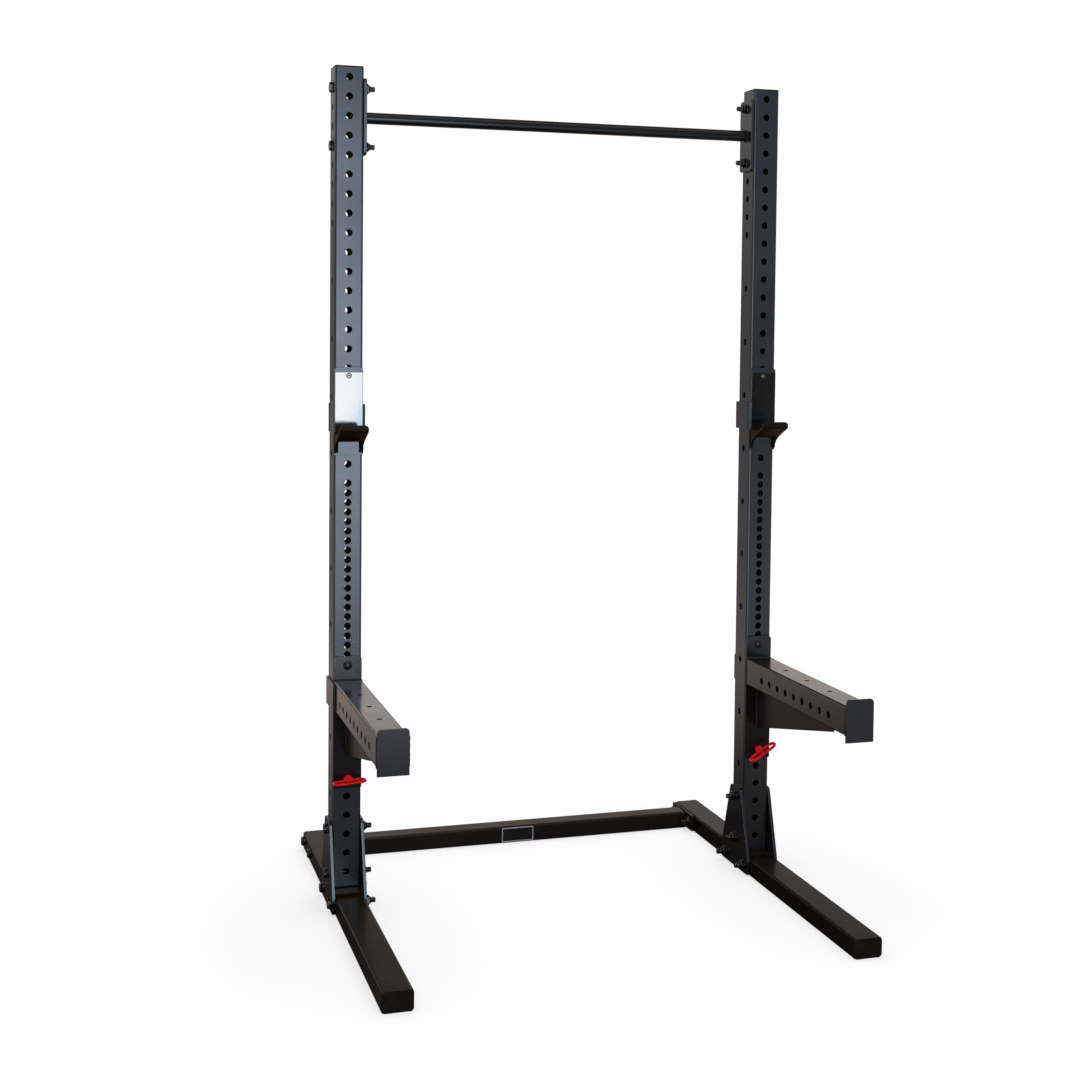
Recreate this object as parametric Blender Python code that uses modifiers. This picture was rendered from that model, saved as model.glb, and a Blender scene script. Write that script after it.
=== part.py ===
"""A half rack: two drilled steel uprights on foot beams, joined by a pull-up bar and a rear cross
beam, with a pair of J-cups, a pair of spotter arms and two lock pins.

X runs across the rack, +Y to its back and +Z up. The origin is on the floor, at the middle of the
footprint. Pieces are laid out from a datum midway between the uprights' centre lines, and an empty
there carries them. Side -1 is the left upright and side +1 the right one.
"""

import math

import bmesh
import bpy
from mathutils import Matrix, Vector

# Shared sizes
GAP = 0.0003
WALL = 0.003
TUBE = 0.075
HALF = TUBE / 2
TUBE_RADIUS = 0.006
SPACING = 1.170
SIDES = {"left": -1, "right": 1}

# Foot beams
FOOT_HEIGHT = 0.050
FOOT_FRONT = -0.706
FOOT_REAR = 0.478
END_CAP = 0.004
CAP_PLUG = 0.014

# Uprights
SADDLE = 0.008
UPRIGHT_FOOT = FOOT_HEIGHT + SADDLE
UPRIGHT_TOP = 2.199
TOP_CAP = 0.003
HOLE = 0.0185
HOLE_SIDES = 6
PITCH = 0.050
HOLE_BELOW_TOP = 0.025
HOLE_MARGIN = 0.030
WIDE_ROWS_ABOVE = 22
CLOSE_ROWS = 19
SIDE_ROWS_TOP = 8
SPARSE_STEP = 3

# Hexagon bolts
SHANK = 0.014
HEAD_FLATS = 0.024
HEAD = 0.009
NUT = 0.012
BOLT_TAIL = 0.0165

# Gusset plates at the uprights' feet
GUSSET = 0.008
GUSSET_TOP = 0.233
GUSSET_BOTTOM = 0.004
GUSSET_REACH = 0.090
GUSSET_ROUND = 0.014
SADDLE_REACH = 0.084
BASE_BOLT_HEIGHTS = (0.206, 0.086)
FOOT_BOLT_REACH = 0.063
FOOT_BOLT_HEIGHT = 0.026

# Rear cross beam
CROSS_FRONT = 0.368
CROSS_DEPTH = 0.060
CROSS_FLANGE = 0.008
CROSS_FLANGE_FRONT = 0.318
CROSS_FLANGE_BOTTOM = 0.003
CROSS_BOLTS = (0.341, 0.455)
CROSS_BOLT_HEIGHT = 0.029

# Pull-up bar
BAR = 0.030
BAR_ROW = 2
BAR_SIDES = 20
BAR_FLANGE = 0.008
BAR_FLANGE_HEIGHT = 0.197
BAR_BOLT_ROWS = (0.5, 3.5)

# J-cups
PLATE = 0.006
PLATE_ROUND = 0.010
WRAP_CLEARANCE = 0.0005
WRAP_SEAM = 0.010
PEG = 0.014
PEG_REACH = 0.034
CUP_PEG_ROW = 16
CUP_ABOVE_PEG = 0.053
CUP_BELOW_PEG = 0.176
CUP_EAR = 0.007
CUP_EAR_TOP = 0.044
CUP_EAR_BOTTOM = 0.119
CUP_RETURN_STOP = 0.035
WEAR = 0.003
WEAR_HALF = 0.036
WEAR_ABOVE_PEG = 0.039
CRADLE_FLOOR_DROP = 0.120
CRADLE_REACH = 0.0935
CRADLE_PLATE = 0.008
LIP_RISE = 0.026
LIP_ROUND = 0.010
LIP_FACE = 0.0165
# The cradle gussets' front edge, as distances ahead of the plate and drops below the lip's top
CRADLE_EDGE = ((0.0315, 0.043), (0.0135, 0.055), (0.0030, 0.0695), (0.0025, 0.076), (0.0, 0.076))
WEB_PAST_KNEE = 0.25

# Spotter arms
ARM_PEG_ROW = 30.5
ARM_PIN_ROW = 36.5
ARM_PLATE_ABOVE_PEG = 0.022
ARM_PLATE_BELOW_PIN = 0.026
ARM_TOP_DROP = 0.040
ARM_FRONT = -0.637
ARM_HOLES = 9
ARM_HOLE_START = -0.146
ARM_HOLE_DROP = 0.043
ARM_TOP_HOLES = (-0.220, -0.349, -0.478)
ARM_TOP_HOLE = 0.013
ARM_EAR = 0.005
ARM_EAR_REACH = 0.073
ARM_EAR_INSET = 0.004
ARM_RETURN_STOP = 0.036
END_PLATE = 0.006
END_PLATE_OVERHANG = 0.0165
BRACE = 0.008
BRACE_DEPTH = 0.124
BRACE_FRONT = -0.502
BRACE_TIP = 0.024
PEG_HEAD = 0.021
PEG_DOME = 0.006

# Lock pins
PIN = 0.014
PIN_REAR = 0.045
KNOB = 0.025
LOOP_LENGTH = 0.090
LOOP_DEPTH = 0.034
LOOP_ROD = 0.008
LOOP_ROLL = {"left": 4.3, "right": 32.7}

# Places worked out from the sizes above
CENTRE = SPACING / 2
DATUM_Y = -(FOOT_FRONT + FOOT_REAR) / 2
BACK_OF_PLATE = -(HALF + GAP)
FACE_OF_PLATE = BACK_OF_PLATE - PLATE
FRONT_OF_PLATE = FACE_OF_PLATE - GAP
WRAP_INNER = HALF + WRAP_CLEARANCE

POWDER_COAT = ((0.022, 0.022, 0.025), 0.2, 0.42)
BLACK_PLASTIC = ((0.012, 0.012, 0.013), 0.0, 0.5)
BLACK_STEEL = ((0.03, 0.03, 0.032), 0.9, 0.35)
POLISHED_STEEL = ((0.62, 0.64, 0.67), 1.0, 0.12)
RED_COAT = ((0.62, 0.008, 0.015), 0.0, 0.3)


def row_height(row):
    """The height of an upright's hole row, counted down from the top one."""
    return UPRIGHT_TOP - HOLE_BELOW_TOP - PITCH * row


def rows_down(start, step, lowest):
    """Rows below this one, as many as leave a margin above the lowest height."""
    room = row_height(start) - lowest - HOLE_MARGIN
    return [start + step * count for count in range(1, int(room / (step * PITCH)) + 1)]


def clear_scene():
    for leftover in list(bpy.data.objects):
        bpy.data.objects.remove(leftover)


def make_collection(name, hidden):
    collection = bpy.data.collections.new(name)
    collection.hide_render = hidden
    bpy.context.scene.collection.children.link(collection)
    return collection


clear_scene()
RACK = make_collection("half_rack", False)
CUTTERS = make_collection("half_rack_cutters", True)
DATUM = bpy.data.objects.new("uprights_datum", None)
DATUM.location.y = DATUM_Y
RACK.objects.link(DATUM)


def make_material(name, finish):
    colour, metallic, roughness = finish
    material = bpy.data.materials.new(name + "_finish")
    material.use_nodes = True
    shader = material.node_tree.nodes["Principled BSDF"]
    shader.inputs["Base Color"].default_value = (*colour, 1.0)
    shader.inputs["Metallic"].default_value = metallic
    shader.inputs["Roughness"].default_value = roughness
    return material


def as_object(name, bm, origin, collection):
    """Turns a bmesh laid out from the datum into an object with this origin."""
    bmesh.ops.recalc_face_normals(bm, faces=bm.faces)
    bmesh.ops.translate(bm, verts=bm.verts, vec=-Vector(origin))
    mesh = bpy.data.meshes.new(name)
    bm.to_mesh(mesh)
    bm.free()
    thing = bpy.data.objects.new(name, mesh)
    thing.location = origin
    thing.parent = DATUM
    collection.objects.link(thing)
    return thing


def piece(name, bm, finish, origin=(0, 0, 0)):
    thing = as_object(name, bm, origin, RACK)
    thing.data.materials.append(make_material(name, finish))
    return thing


def helper(name, bm):
    thing = as_object(name, bm, (0, 0, 0), CUTTERS)
    thing.hide_render = True
    thing.display_type = "WIRE"
    return thing


def combine(thing, bm, operation, name):
    """Adds an exact Boolean with this bmesh, kept as a helper object."""
    modifier = thing.modifiers.new(name, "BOOLEAN")
    modifier.object = helper(thing.name + "_" + name, bm)
    modifier.operation = operation
    modifier.solver = "EXACT"


def add_box(bm, low, high, along=None, radius=0.0, segments=2, top_only=False):
    """A box, with the edges that run along one axis rounded if a radius is given."""
    low = Vector(low)
    high = Vector(high)
    place = Matrix.Translation((low + high) / 2) @ Matrix.Diagonal((*(high - low), 1.0))
    made = bmesh.ops.create_cube(bm, size=1.0, matrix=place)["verts"]
    if not radius:
        return
    edges = {edge for vert in made for edge in vert.link_edges}
    chosen = []
    for edge in edges:
        run = edge.verts[1].co - edge.verts[0].co
        if abs(run.normalized()[along]) < 0.99:
            continue
        if top_only and edge.verts[0].co.z < high.z - GAP:
            continue
        chosen.append(edge)
    bmesh.ops.bevel(bm, geom=chosen, offset=radius, segments=segments, profile=0.5, affect="EDGES")


def add_rod(bm, centre, diameter, length, along, sides):
    """A straight prism with this many sides, along axis 0, 1 or 2."""
    turns = (
        Matrix.Rotation(math.pi / 2, 4, "Y"),
        Matrix.Rotation(math.pi / 2, 4, "X"),
        Matrix.Identity(4),
    )
    flat_on_top = Matrix.Rotation(math.pi / sides, 4, "Z")
    bmesh.ops.create_cone(
        bm,
        cap_ends=True,
        segments=sides,
        radius1=diameter / 2,
        radius2=diameter / 2,
        depth=length,
        matrix=Matrix.Translation(centre) @ turns[along] @ flat_on_top,
    )


def outline_mesh(points, thickness, place):
    """A flat outline as a filled 2D curve of this thickness, welded into one mesh."""
    curve = bpy.data.curves.new("outline", "CURVE")
    curve.dimensions = "2D"
    curve.fill_mode = "BOTH"
    curve.extrude = thickness / 2
    spline = curve.splines.new("POLY")
    spline.points.add(len(points) - 1)
    for target, point in zip(spline.points, points):
        target.co = (point[0], point[1], 0.0, 1.0)
    spline.use_cyclic_u = True
    guide = bpy.data.objects.new("outline", curve)
    CUTTERS.objects.link(guide)
    bpy.context.view_layer.update()
    evaluated = guide.evaluated_get(bpy.context.evaluated_depsgraph_get())
    mesh = bpy.data.meshes.new_from_object(evaluated)
    bm = bmesh.new()
    bm.from_mesh(mesh)
    bmesh.ops.remove_doubles(bm, verts=bm.verts, dist=0.00001)
    bmesh.ops.transform(bm, matrix=place, verts=bm.verts)
    bpy.data.meshes.remove(mesh)
    bpy.data.objects.remove(guide)
    bpy.data.curves.remove(curve)
    return bm


def across(x):
    """Places an outline of (Y, Z) points in the plane at this X."""
    return Matrix(((0, 0, 1, x), (1, 0, 0, 0), (0, 1, 0, 0), (0, 0, 0, 1)))


def level(z):
    """Places an outline of (X, Y) points in the plane at this Z."""
    return Matrix.Translation((0, 0, z))


def arc(centre, radius, start, end, steps):
    """Points on a circle between two angles in degrees."""
    angles = [math.radians(start + (end - start) * step / steps) for step in range(steps + 1)]
    return [(centre[0] + radius * math.cos(a), centre[1] + radius * math.sin(a)) for a in angles]


def beam(name, low, high, along, finish):
    """A rounded box tube along one axis, open at both ends."""
    bm = bmesh.new()
    add_box(bm, low, high, along, TUBE_RADIUS)
    tube = piece(name, bm, finish)
    inner_low = [value + WALL for value in low]
    inner_high = [value - WALL for value in high]
    inner_low[along] = low[along] - TUBE
    inner_high[along] = high[along] + TUBE
    bore = bmesh.new()
    add_box(bore, inner_low, inner_high, along, TUBE_RADIUS - WALL, segments=1)
    combine(tube, bore, "DIFFERENCE", "bore")
    return tube


def bolt(name, y, z, head_x, nut_x):
    """A hexagon bolt along X, with its head on the face at head_x and its nut on the one at nut_x."""
    toward_nut = math.copysign(1.0, nut_x - head_x)
    head_centre = head_x - toward_nut * (GAP + HEAD / 2)
    nut_centre = nut_x + toward_nut * (GAP + NUT / 2)
    tail = nut_x + toward_nut * (GAP + NUT + BOLT_TAIL)
    across_corners = HEAD_FLATS / math.cos(math.pi / 6)
    bm = bmesh.new()
    add_rod(bm, (head_centre, y, z), across_corners, HEAD, 0, 6)
    made = piece(name, bm, BLACK_STEEL)
    shank = bmesh.new()
    add_rod(shank, ((head_centre + tail) / 2, y, z), SHANK, abs(tail - head_centre), 0, 6)
    combine(made, shank, "UNION", "shank")
    nut = bmesh.new()
    add_rod(nut, (nut_centre, y, z), across_corners, NUT, 0, 6)
    combine(made, nut, "UNION", "nut")


def front_rows():
    """Rows of the front-to-back holes: a wide pitch, a close middle zone at half pitch, then wide."""
    rows = list(range(WIDE_ROWS_ABOVE))
    start = rows[-1]
    rows += [start + step / 2 for step in range(1, CLOSE_ROWS + 1)]
    return rows + rows_down(rows[-1], 1, UPRIGHT_FOOT)


def side_heights():
    """Heights of the side holes: every half row at the top, sparse below, and the base bolts'."""
    rows = [row + 0.5 for row in range(SIDE_ROWS_TOP)]
    rows += rows_down(rows[-1], SPARSE_STEP, GUSSET_TOP)
    return [row_height(row) for row in rows] + list(BASE_BOLT_HEIGHTS)


def upright(name, side):
    x = side * CENTRE
    low = (x - HALF, -HALF, UPRIGHT_FOOT)
    high = (x + HALF, HALF, UPRIGHT_TOP)
    post = beam(name + "_upright", low, high, 2, POWDER_COAT)
    front = bmesh.new()
    for row in front_rows():
        add_rod(front, (x, 0, row_height(row)), HOLE, 2 * TUBE, 1, HOLE_SIDES)
    combine(post, front, "DIFFERENCE", "front_holes")
    sides = bmesh.new()
    for height in side_heights():
        add_rod(sides, (x, 0, height), HOLE, 2 * TUBE, 0, HOLE_SIDES)
    combine(post, sides, "DIFFERENCE", "side_holes")
    cap = bmesh.new()
    add_box(
        cap,
        (x - HALF, -HALF, UPRIGHT_TOP + GAP),
        (x + HALF, HALF, UPRIGHT_TOP + TOP_CAP),
        2,
        TUBE_RADIUS,
    )
    lid = piece(name + "_upright_cap", cap, BLACK_PLASTIC)
    inside = HALF - WALL - GAP
    plug = bmesh.new()
    add_box(
        plug,
        (x - inside, -inside, UPRIGHT_TOP - CAP_PLUG),
        (x + inside, inside, UPRIGHT_TOP + TOP_CAP / 2),
        2,
        TUBE_RADIUS - WALL,
        segments=1,
    )
    combine(lid, plug, "UNION", "plug")


def foot_cap(name, x, face, outward):
    """A plastic cap on a foot beam's end: a plate, and a plug inside the tube."""
    inner = face - outward * (END_CAP - GAP)
    plate = bmesh.new()
    add_box(
        plate,
        (x - HALF, min(inner, face), 0),
        (x + HALF, max(inner, face), FOOT_HEIGHT),
        1,
        TUBE_RADIUS,
    )
    cap = piece(name, plate, BLACK_PLASTIC)
    ends = (face - outward * END_CAP / 2, face - outward * CAP_PLUG)
    inset = WALL + GAP
    plug = bmesh.new()
    add_box(
        plug,
        (x - HALF + inset, min(ends), inset),
        (x + HALF - inset, max(ends), FOOT_HEIGHT - inset),
        1,
        TUBE_RADIUS - WALL,
        segments=1,
    )
    combine(cap, plug, "UNION", "plug")


def foot(name, side):
    x = side * CENTRE
    low = (x - HALF, FOOT_FRONT + END_CAP, 0)
    high = (x + HALF, FOOT_REAR - END_CAP, FOOT_HEIGHT)
    runner = beam(name + "_foot_beam", low, high, 1, POWDER_COAT)
    holes = bmesh.new()
    for y in (-FOOT_BOLT_REACH, FOOT_BOLT_REACH):
        add_rod(holes, (x, y, FOOT_BOLT_HEIGHT), HOLE, 2 * TUBE, 0, HOLE_SIDES)
    for y in CROSS_BOLTS:
        add_rod(holes, (x, y, CROSS_BOLT_HEIGHT), HOLE, 2 * TUBE, 0, HOLE_SIDES)
    combine(runner, holes, "DIFFERENCE", "bolt_holes")
    foot_cap(name + "_foot_front_cap", x, FOOT_FRONT, -1)
    foot_cap(name + "_foot_rear_cap", x, FOOT_REAR, 1)


def gusset_outline():
    """Half of it rises beside the foot beam, flares in to the upright and ends in a round corner."""
    corner = (HALF - GUSSET_ROUND, GUSSET_TOP - GUSSET_ROUND)
    right = [(GUSSET_REACH, GUSSET_BOTTOM), (GUSSET_REACH, FOOT_HEIGHT)]
    right += arc(corner, GUSSET_ROUND, 10, 90, 3)
    return right + [(-y, z) for y, z in reversed(right)]


def gusset(name, side, face):
    """A gusset plate whose near face is one gap off the tubes' face, on its inner or outer side."""
    x = side * CENTRE + face * (HALF + GAP + GUSSET / 2)
    plate = piece(name, outline_mesh(gusset_outline(), GUSSET, across(x)), POWDER_COAT)
    holes = bmesh.new()
    for height in BASE_BOLT_HEIGHTS:
        add_rod(holes, (x, 0, height), HOLE, 2 * GUSSET, 0, HOLE_SIDES)
    for y in (-FOOT_BOLT_REACH, FOOT_BOLT_REACH):
        add_rod(holes, (x, y, FOOT_BOLT_HEIGHT), HOLE, 2 * GUSSET, 0, HOLE_SIDES)
    combine(plate, holes, "DIFFERENCE", "bolt_holes")


def base_joint(name, side):
    """The gussets, the saddle plate under the upright, and the bolts through them."""
    gusset(name + "_outer_gusset", side, side)
    gusset(name + "_inner_gusset", side, -side)
    x = side * CENTRE
    saddle = bmesh.new()
    add_box(
        saddle,
        (x - HALF, -SADDLE_REACH, FOOT_HEIGHT + GAP),
        (x + HALF, SADDLE_REACH, UPRIGHT_FOOT - GAP),
    )
    piece(name + "_saddle_plate", saddle, POWDER_COAT)
    spread = HALF + GAP + GUSSET
    places = {
        "upper_base_bolt": (0, BASE_BOLT_HEIGHTS[0]),
        "lower_base_bolt": (0, BASE_BOLT_HEIGHTS[1]),
        "front_foot_bolt": (-FOOT_BOLT_REACH, FOOT_BOLT_HEIGHT),
        "rear_foot_bolt": (FOOT_BOLT_REACH, FOOT_BOLT_HEIGHT),
    }
    for label, (y, z) in places.items():
        bolt(name + "_" + label, y, z, x + side * spread, x - side * spread)


def cross_beam():
    end = CENTRE - HALF - GAP - CROSS_FLANGE - GAP
    low = (-end, CROSS_FRONT, 0)
    high = (end, CROSS_FRONT + CROSS_DEPTH, FOOT_HEIGHT)
    beam("rear_cross_beam", low, high, 0, POWDER_COAT)


def cross_beam_joint(name, side):
    x = side * CENTRE
    near = x - side * (HALF + GAP)
    far = near - side * CROSS_FLANGE
    plate = bmesh.new()
    add_box(
        plate,
        (min(near, far), CROSS_FLANGE_FRONT, CROSS_FLANGE_BOTTOM),
        (max(near, far), FOOT_REAR, FOOT_HEIGHT),
        0,
        TUBE_RADIUS,
    )
    flange = piece(name + "_cross_beam_flange", plate, POWDER_COAT)
    holes = bmesh.new()
    for y in CROSS_BOLTS:
        add_rod(holes, (near, y, CROSS_BOLT_HEIGHT), HOLE, 4 * CROSS_FLANGE, 0, HOLE_SIDES)
    combine(flange, holes, "DIFFERENCE", "bolt_holes")
    for label, y in zip(("front", "rear"), CROSS_BOLTS):
        bolt(name + "_cross_" + label + "_bolt", y, CROSS_BOLT_HEIGHT, x + side * HALF, far)


def pull_up_bar():
    height = row_height(BAR_ROW)
    length = 2 * (CENTRE - HALF - BAR_FLANGE - 2 * GAP)
    bm = bmesh.new()
    add_rod(bm, (0, 0, height), BAR, length, 0, BAR_SIDES)
    bar = piece("pull_up_bar", bm, POWDER_COAT)
    bore = bmesh.new()
    add_rod(bore, (0, 0, height), BAR - 2 * WALL, length + TUBE, 0, BAR_SIDES)
    combine(bar, bore, "DIFFERENCE", "bore")


def bar_joint(name, side):
    x = side * CENTRE
    near = x - side * (HALF + GAP)
    far = near - side * BAR_FLANGE
    middle = row_height(BAR_ROW)
    plate = bmesh.new()
    add_box(
        plate,
        (min(near, far), -HALF, middle - BAR_FLANGE_HEIGHT / 2),
        (max(near, far), HALF, middle + BAR_FLANGE_HEIGHT / 2),
        0,
        PLATE_ROUND,
    )
    flange = piece(name + "_bar_flange", plate, POWDER_COAT)
    holes = bmesh.new()
    for row in BAR_BOLT_ROWS:
        add_rod(holes, (near, 0, row_height(row)), HOLE, 4 * BAR_FLANGE, 0, HOLE_SIDES)
    combine(flange, holes, "DIFFERENCE", "bolt_holes")
    for label, row in zip(("upper", "lower"), BAR_BOLT_ROWS):
        bolt(name + "_bar_" + label + "_bolt", 0, row_height(row), x + side * HALF, far)


def wrap(x, toward, ear, front_reach, stop, low, high):
    """The bent plate that leaves a mount plate's edge, runs back beside the upright and turns in
    behind it. Toward is the side of the upright, +1 or -1, that it runs along. A front reach of
    none ends it flush with the mount plate's face."""
    outer = WRAP_INNER + ear
    seam = HALF - WRAP_SEAM
    points = [
        (seam, FACE_OF_PLATE),
        (WRAP_INNER, FACE_OF_PLATE),
        (WRAP_INNER, -front_reach),
        (outer, -front_reach),
        (outer, outer),
        (-stop, outer),
        (-stop, WRAP_INNER),
        (WRAP_INNER, WRAP_INNER),
        (WRAP_INNER, BACK_OF_PLATE),
        (seam, BACK_OF_PLATE),
    ]
    if not front_reach:
        points = [points[0], (outer, FACE_OF_PLATE)] + points[4:]
    placed = [(x + toward * across_x, y) for across_x, y in points]
    return outline_mesh(placed, high - low, level((low + high) / 2))


def mount_plate(name, x, low, high, origin):
    bm = bmesh.new()
    add_box(
        bm,
        (x - HALF, FACE_OF_PLATE, low),
        (x + HALF, BACK_OF_PLATE, high),
        1,
        PLATE_ROUND,
        top_only=True,
    )
    return piece(name, bm, POWDER_COAT, origin)


def cradle_outlines(peg):
    """The cradle from the side, and the hollow between its gussets, each as (Y, Z) points. The lip
    stands on a web that slopes back and down, under the floor, to the gussets' knee."""
    floor = peg - CRADLE_FLOOR_DROP
    under = floor - CRADLE_PLATE
    lip_top = floor + LIP_RISE
    front = FRONT_OF_PLATE - CRADLE_REACH + PLATE
    chin = Vector((front, lip_top - LIP_FACE))
    edge = [Vector((FRONT_OF_PLATE - ahead, lip_top - drop)) for ahead, drop in CRADLE_EDGE]
    run = edge[0] - chin
    thickness = Vector((-run.y, run.x)).normalized() * CRADLE_PLATE
    inner = chin + thickness
    slope = run.y / run.x
    web_end = edge[0].lerp(edge[1], WEB_PAST_KNEE)
    body = [
        (FRONT_OF_PLATE, floor),
        (inner.x + (floor - inner.y) / slope, floor),
        (front + CRADLE_PLATE, inner.y + (front + CRADLE_PLATE - inner.x) * slope),
        (front + CRADLE_PLATE, lip_top),
        (front, lip_top),
        tuple(chin),
    ]
    body += [tuple(point) for point in edge]
    hollow = [
        (0, under),
        (inner.x + (under - inner.y) / slope, under),
        tuple(web_end + thickness),
        tuple(web_end - thickness),
        (web_end.x - thickness.x, under - TUBE),
        (0, under - TUBE),
    ]
    return body, hollow


def round_lip(bm, x, peg):
    """Rounds the lip's two top corners."""
    lip_top = peg - CRADLE_FLOOR_DROP + LIP_RISE
    corners = []
    for edge in bm.edges:
        ends = [vert.co for vert in edge.verts]
        at_top = all(abs(end.z - lip_top) < GAP for end in ends)
        at_side = abs(ends[0].x - ends[1].x) < GAP and abs(abs(ends[0].x - x) - HALF) < GAP
        if at_top and at_side:
            corners.append(edge)
    bmesh.ops.bevel(bm, geom=corners, offset=LIP_ROUND, segments=3, profile=0.5, affect="EDGES")


def j_cup(name, side):
    """A J-cup, whose origin is on its peg's axis, where it swings."""
    x = side * CENTRE
    inward = -side
    peg = row_height(CUP_PEG_ROW)
    origin = (x, 0, peg)
    plate = mount_plate(name + "_j_cup_plate", x, peg - CUP_BELOW_PEG, peg + CUP_ABOVE_PEG, origin)
    ear = wrap(x, inward, CUP_EAR, 0, CUP_RETURN_STOP, peg - CUP_EAR_BOTTOM, peg - CUP_EAR_TOP)
    combine(plate, ear, "UNION", "ear")
    body, hollow = cradle_outlines(peg)
    cradle = outline_mesh(body, TUBE, across(x))
    round_lip(cradle, x, peg)
    hook = piece(name + "_j_cup_cradle", cradle, POWDER_COAT, origin)
    combine(hook, outline_mesh(hollow, TUBE - 2 * CRADLE_PLATE, across(x)), "DIFFERENCE", "hollow")
    wear = bmesh.new()
    add_box(
        wear,
        (x - WEAR_HALF, FRONT_OF_PLATE - WEAR, peg - CRADLE_FLOOR_DROP + GAP),
        (x + WEAR_HALF, FRONT_OF_PLATE, peg + WEAR_ABOVE_PEG),
    )
    piece(name + "_j_cup_wear_plate", wear, POLISHED_STEEL, origin)
    pin = bmesh.new()
    rear = BACK_OF_PLATE + GAP + PEG_REACH
    add_rod(pin, (x, (BACK_OF_PLATE + GAP + rear) / 2, peg), PEG, PEG_REACH, 1, 12)
    piece(name + "_j_cup_peg", pin, BLACK_STEEL, origin)


def turned(name, profile, finish, place):
    """A turned solid about its own Z axis, from (radius, height) points, top to bottom."""
    mesh = bpy.data.meshes.new(name)
    points = [(radius, 0.0, height) for radius, height in profile]
    mesh.from_pydata(points, [(i, i + 1) for i in range(len(points) - 1)], [])
    thing = bpy.data.objects.new(name, mesh)
    thing.matrix_basis = place
    thing.parent = DATUM
    RACK.objects.link(thing)
    screw = thing.modifiers.new("turn", "SCREW")
    screw.steps = 12
    screw.render_steps = 12
    screw.use_merge_vertices = True
    screw.merge_threshold = 0.00001
    mesh.materials.append(make_material(name, finish))
    return thing


def arm_peg(name, x, height):
    """A domed peg through the mount plate into the upright's front wall."""
    dome = [(PEG_HEAD / 2 * math.sin(a), PEG_DOME * math.cos(a)) for a in (0, math.pi / 6, math.pi / 3)]
    tip = -(PLATE + PEG_REACH)
    profile = dome + [(PEG_HEAD / 2, 0), (PEG / 2, 0), (PEG / 2, tip), (0, tip)]
    forward = Matrix.Translation((x, FRONT_OF_PLATE, height)) @ Matrix.Rotation(math.pi / 2, 4, "X")
    turned(name, profile, BLACK_STEEL, forward)


def spotter_arm(name, side):
    x = side * CENTRE
    peg = row_height(ARM_PEG_ROW)
    pin = row_height(ARM_PIN_ROW)
    top = peg - ARM_TOP_DROP
    bottom = top - TUBE
    plate_low = pin - ARM_PLATE_BELOW_PIN
    plate = mount_plate(name + "_arm_mount_plate", x, plate_low, peg + ARM_PLATE_ABOVE_PEG, (0, 0, 0))
    ear = wrap(x, side, ARM_EAR, ARM_EAR_REACH, ARM_RETURN_STOP, bottom, top - ARM_EAR_INSET)
    combine(plate, ear, "UNION", "ear")
    holes = bmesh.new()
    for height in (peg, pin):
        add_rod(holes, (x, FACE_OF_PLATE, height), HOLE, 4 * PLATE, 1, HOLE_SIDES)
    combine(plate, holes, "DIFFERENCE", "peg_and_pin_holes")
    arm_peg(name + "_arm_peg", x, peg)

    low = (x - HALF, ARM_FRONT, bottom)
    high = (x + HALF, FRONT_OF_PLATE, top)
    arm = beam(name + "_arm_beam", low, high, 1, POWDER_COAT)
    drilled = bmesh.new()
    for count in range(ARM_HOLES):
        y = ARM_HOLE_START - PITCH * count
        add_rod(drilled, (x, y, top - ARM_HOLE_DROP), HOLE, 2 * TUBE, 0, HOLE_SIDES)
    combine(arm, drilled, "DIFFERENCE", "side_holes")
    topped = bmesh.new()
    for y in ARM_TOP_HOLES:
        add_rod(topped, (x, y, top), ARM_TOP_HOLE, 4 * WALL, 2, HOLE_SIDES)
    combine(arm, topped, "DIFFERENCE", "top_holes")

    end = bmesh.new()
    add_box(
        end,
        (x - HALF, ARM_FRONT - GAP - END_PLATE, bottom - END_PLATE_OVERHANG),
        (x + HALF, ARM_FRONT - GAP, top + END_PLATE_OVERHANG),
        1,
        PLATE_ROUND,
        top_only=True,
    )
    piece(name + "_arm_end_plate", end, POWDER_COAT)

    brace = [
        (FRONT_OF_PLATE, bottom - GAP),
        (FRONT_OF_PLATE, bottom - BRACE_DEPTH),
        (BRACE_FRONT, bottom - BRACE_TIP),
        (BRACE_FRONT, bottom - GAP),
    ]
    piece(name + "_arm_brace", outline_mesh(brace, BRACE, across(x)), POWDER_COAT)


def stadium(length, depth, steps):
    """Points round a loop with half-round ends, by their place across and in depth."""
    radius = depth / 2
    shift = length / 2 - radius
    right = arc((shift, 0), radius, -90, 90, steps)
    left = arc((-shift, 0), radius, 90, 270, steps)
    return right + left


def loop_mesh(place):
    """The pin's closed loop of rod, as a mesh."""
    curve = bpy.data.curves.new("loop", "CURVE")
    curve.dimensions = "3D"
    curve.bevel_depth = LOOP_ROD / 2
    curve.bevel_resolution = 1
    points = stadium(LOOP_LENGTH - LOOP_ROD, LOOP_DEPTH - LOOP_ROD, 4)
    spline = curve.splines.new("POLY")
    spline.points.add(len(points) - 1)
    for target, (across_x, depth) in zip(spline.points, points):
        target.co = (across_x, depth, 0.0, 1.0)
    spline.use_cyclic_u = True
    guide = bpy.data.objects.new("loop", curve)
    CUTTERS.objects.link(guide)
    bpy.context.view_layer.update()
    evaluated = guide.evaluated_get(bpy.context.evaluated_depsgraph_get())
    mesh = bpy.data.meshes.new_from_object(evaluated)
    bm = bmesh.new()
    bm.from_mesh(mesh)
    bmesh.ops.remove_doubles(bm, verts=bm.verts, dist=0.00001)
    bmesh.ops.transform(bm, matrix=place, verts=bm.verts)
    bpy.data.meshes.remove(mesh)
    bpy.data.objects.remove(guide)
    bpy.data.curves.remove(curve)
    return bm


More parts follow.
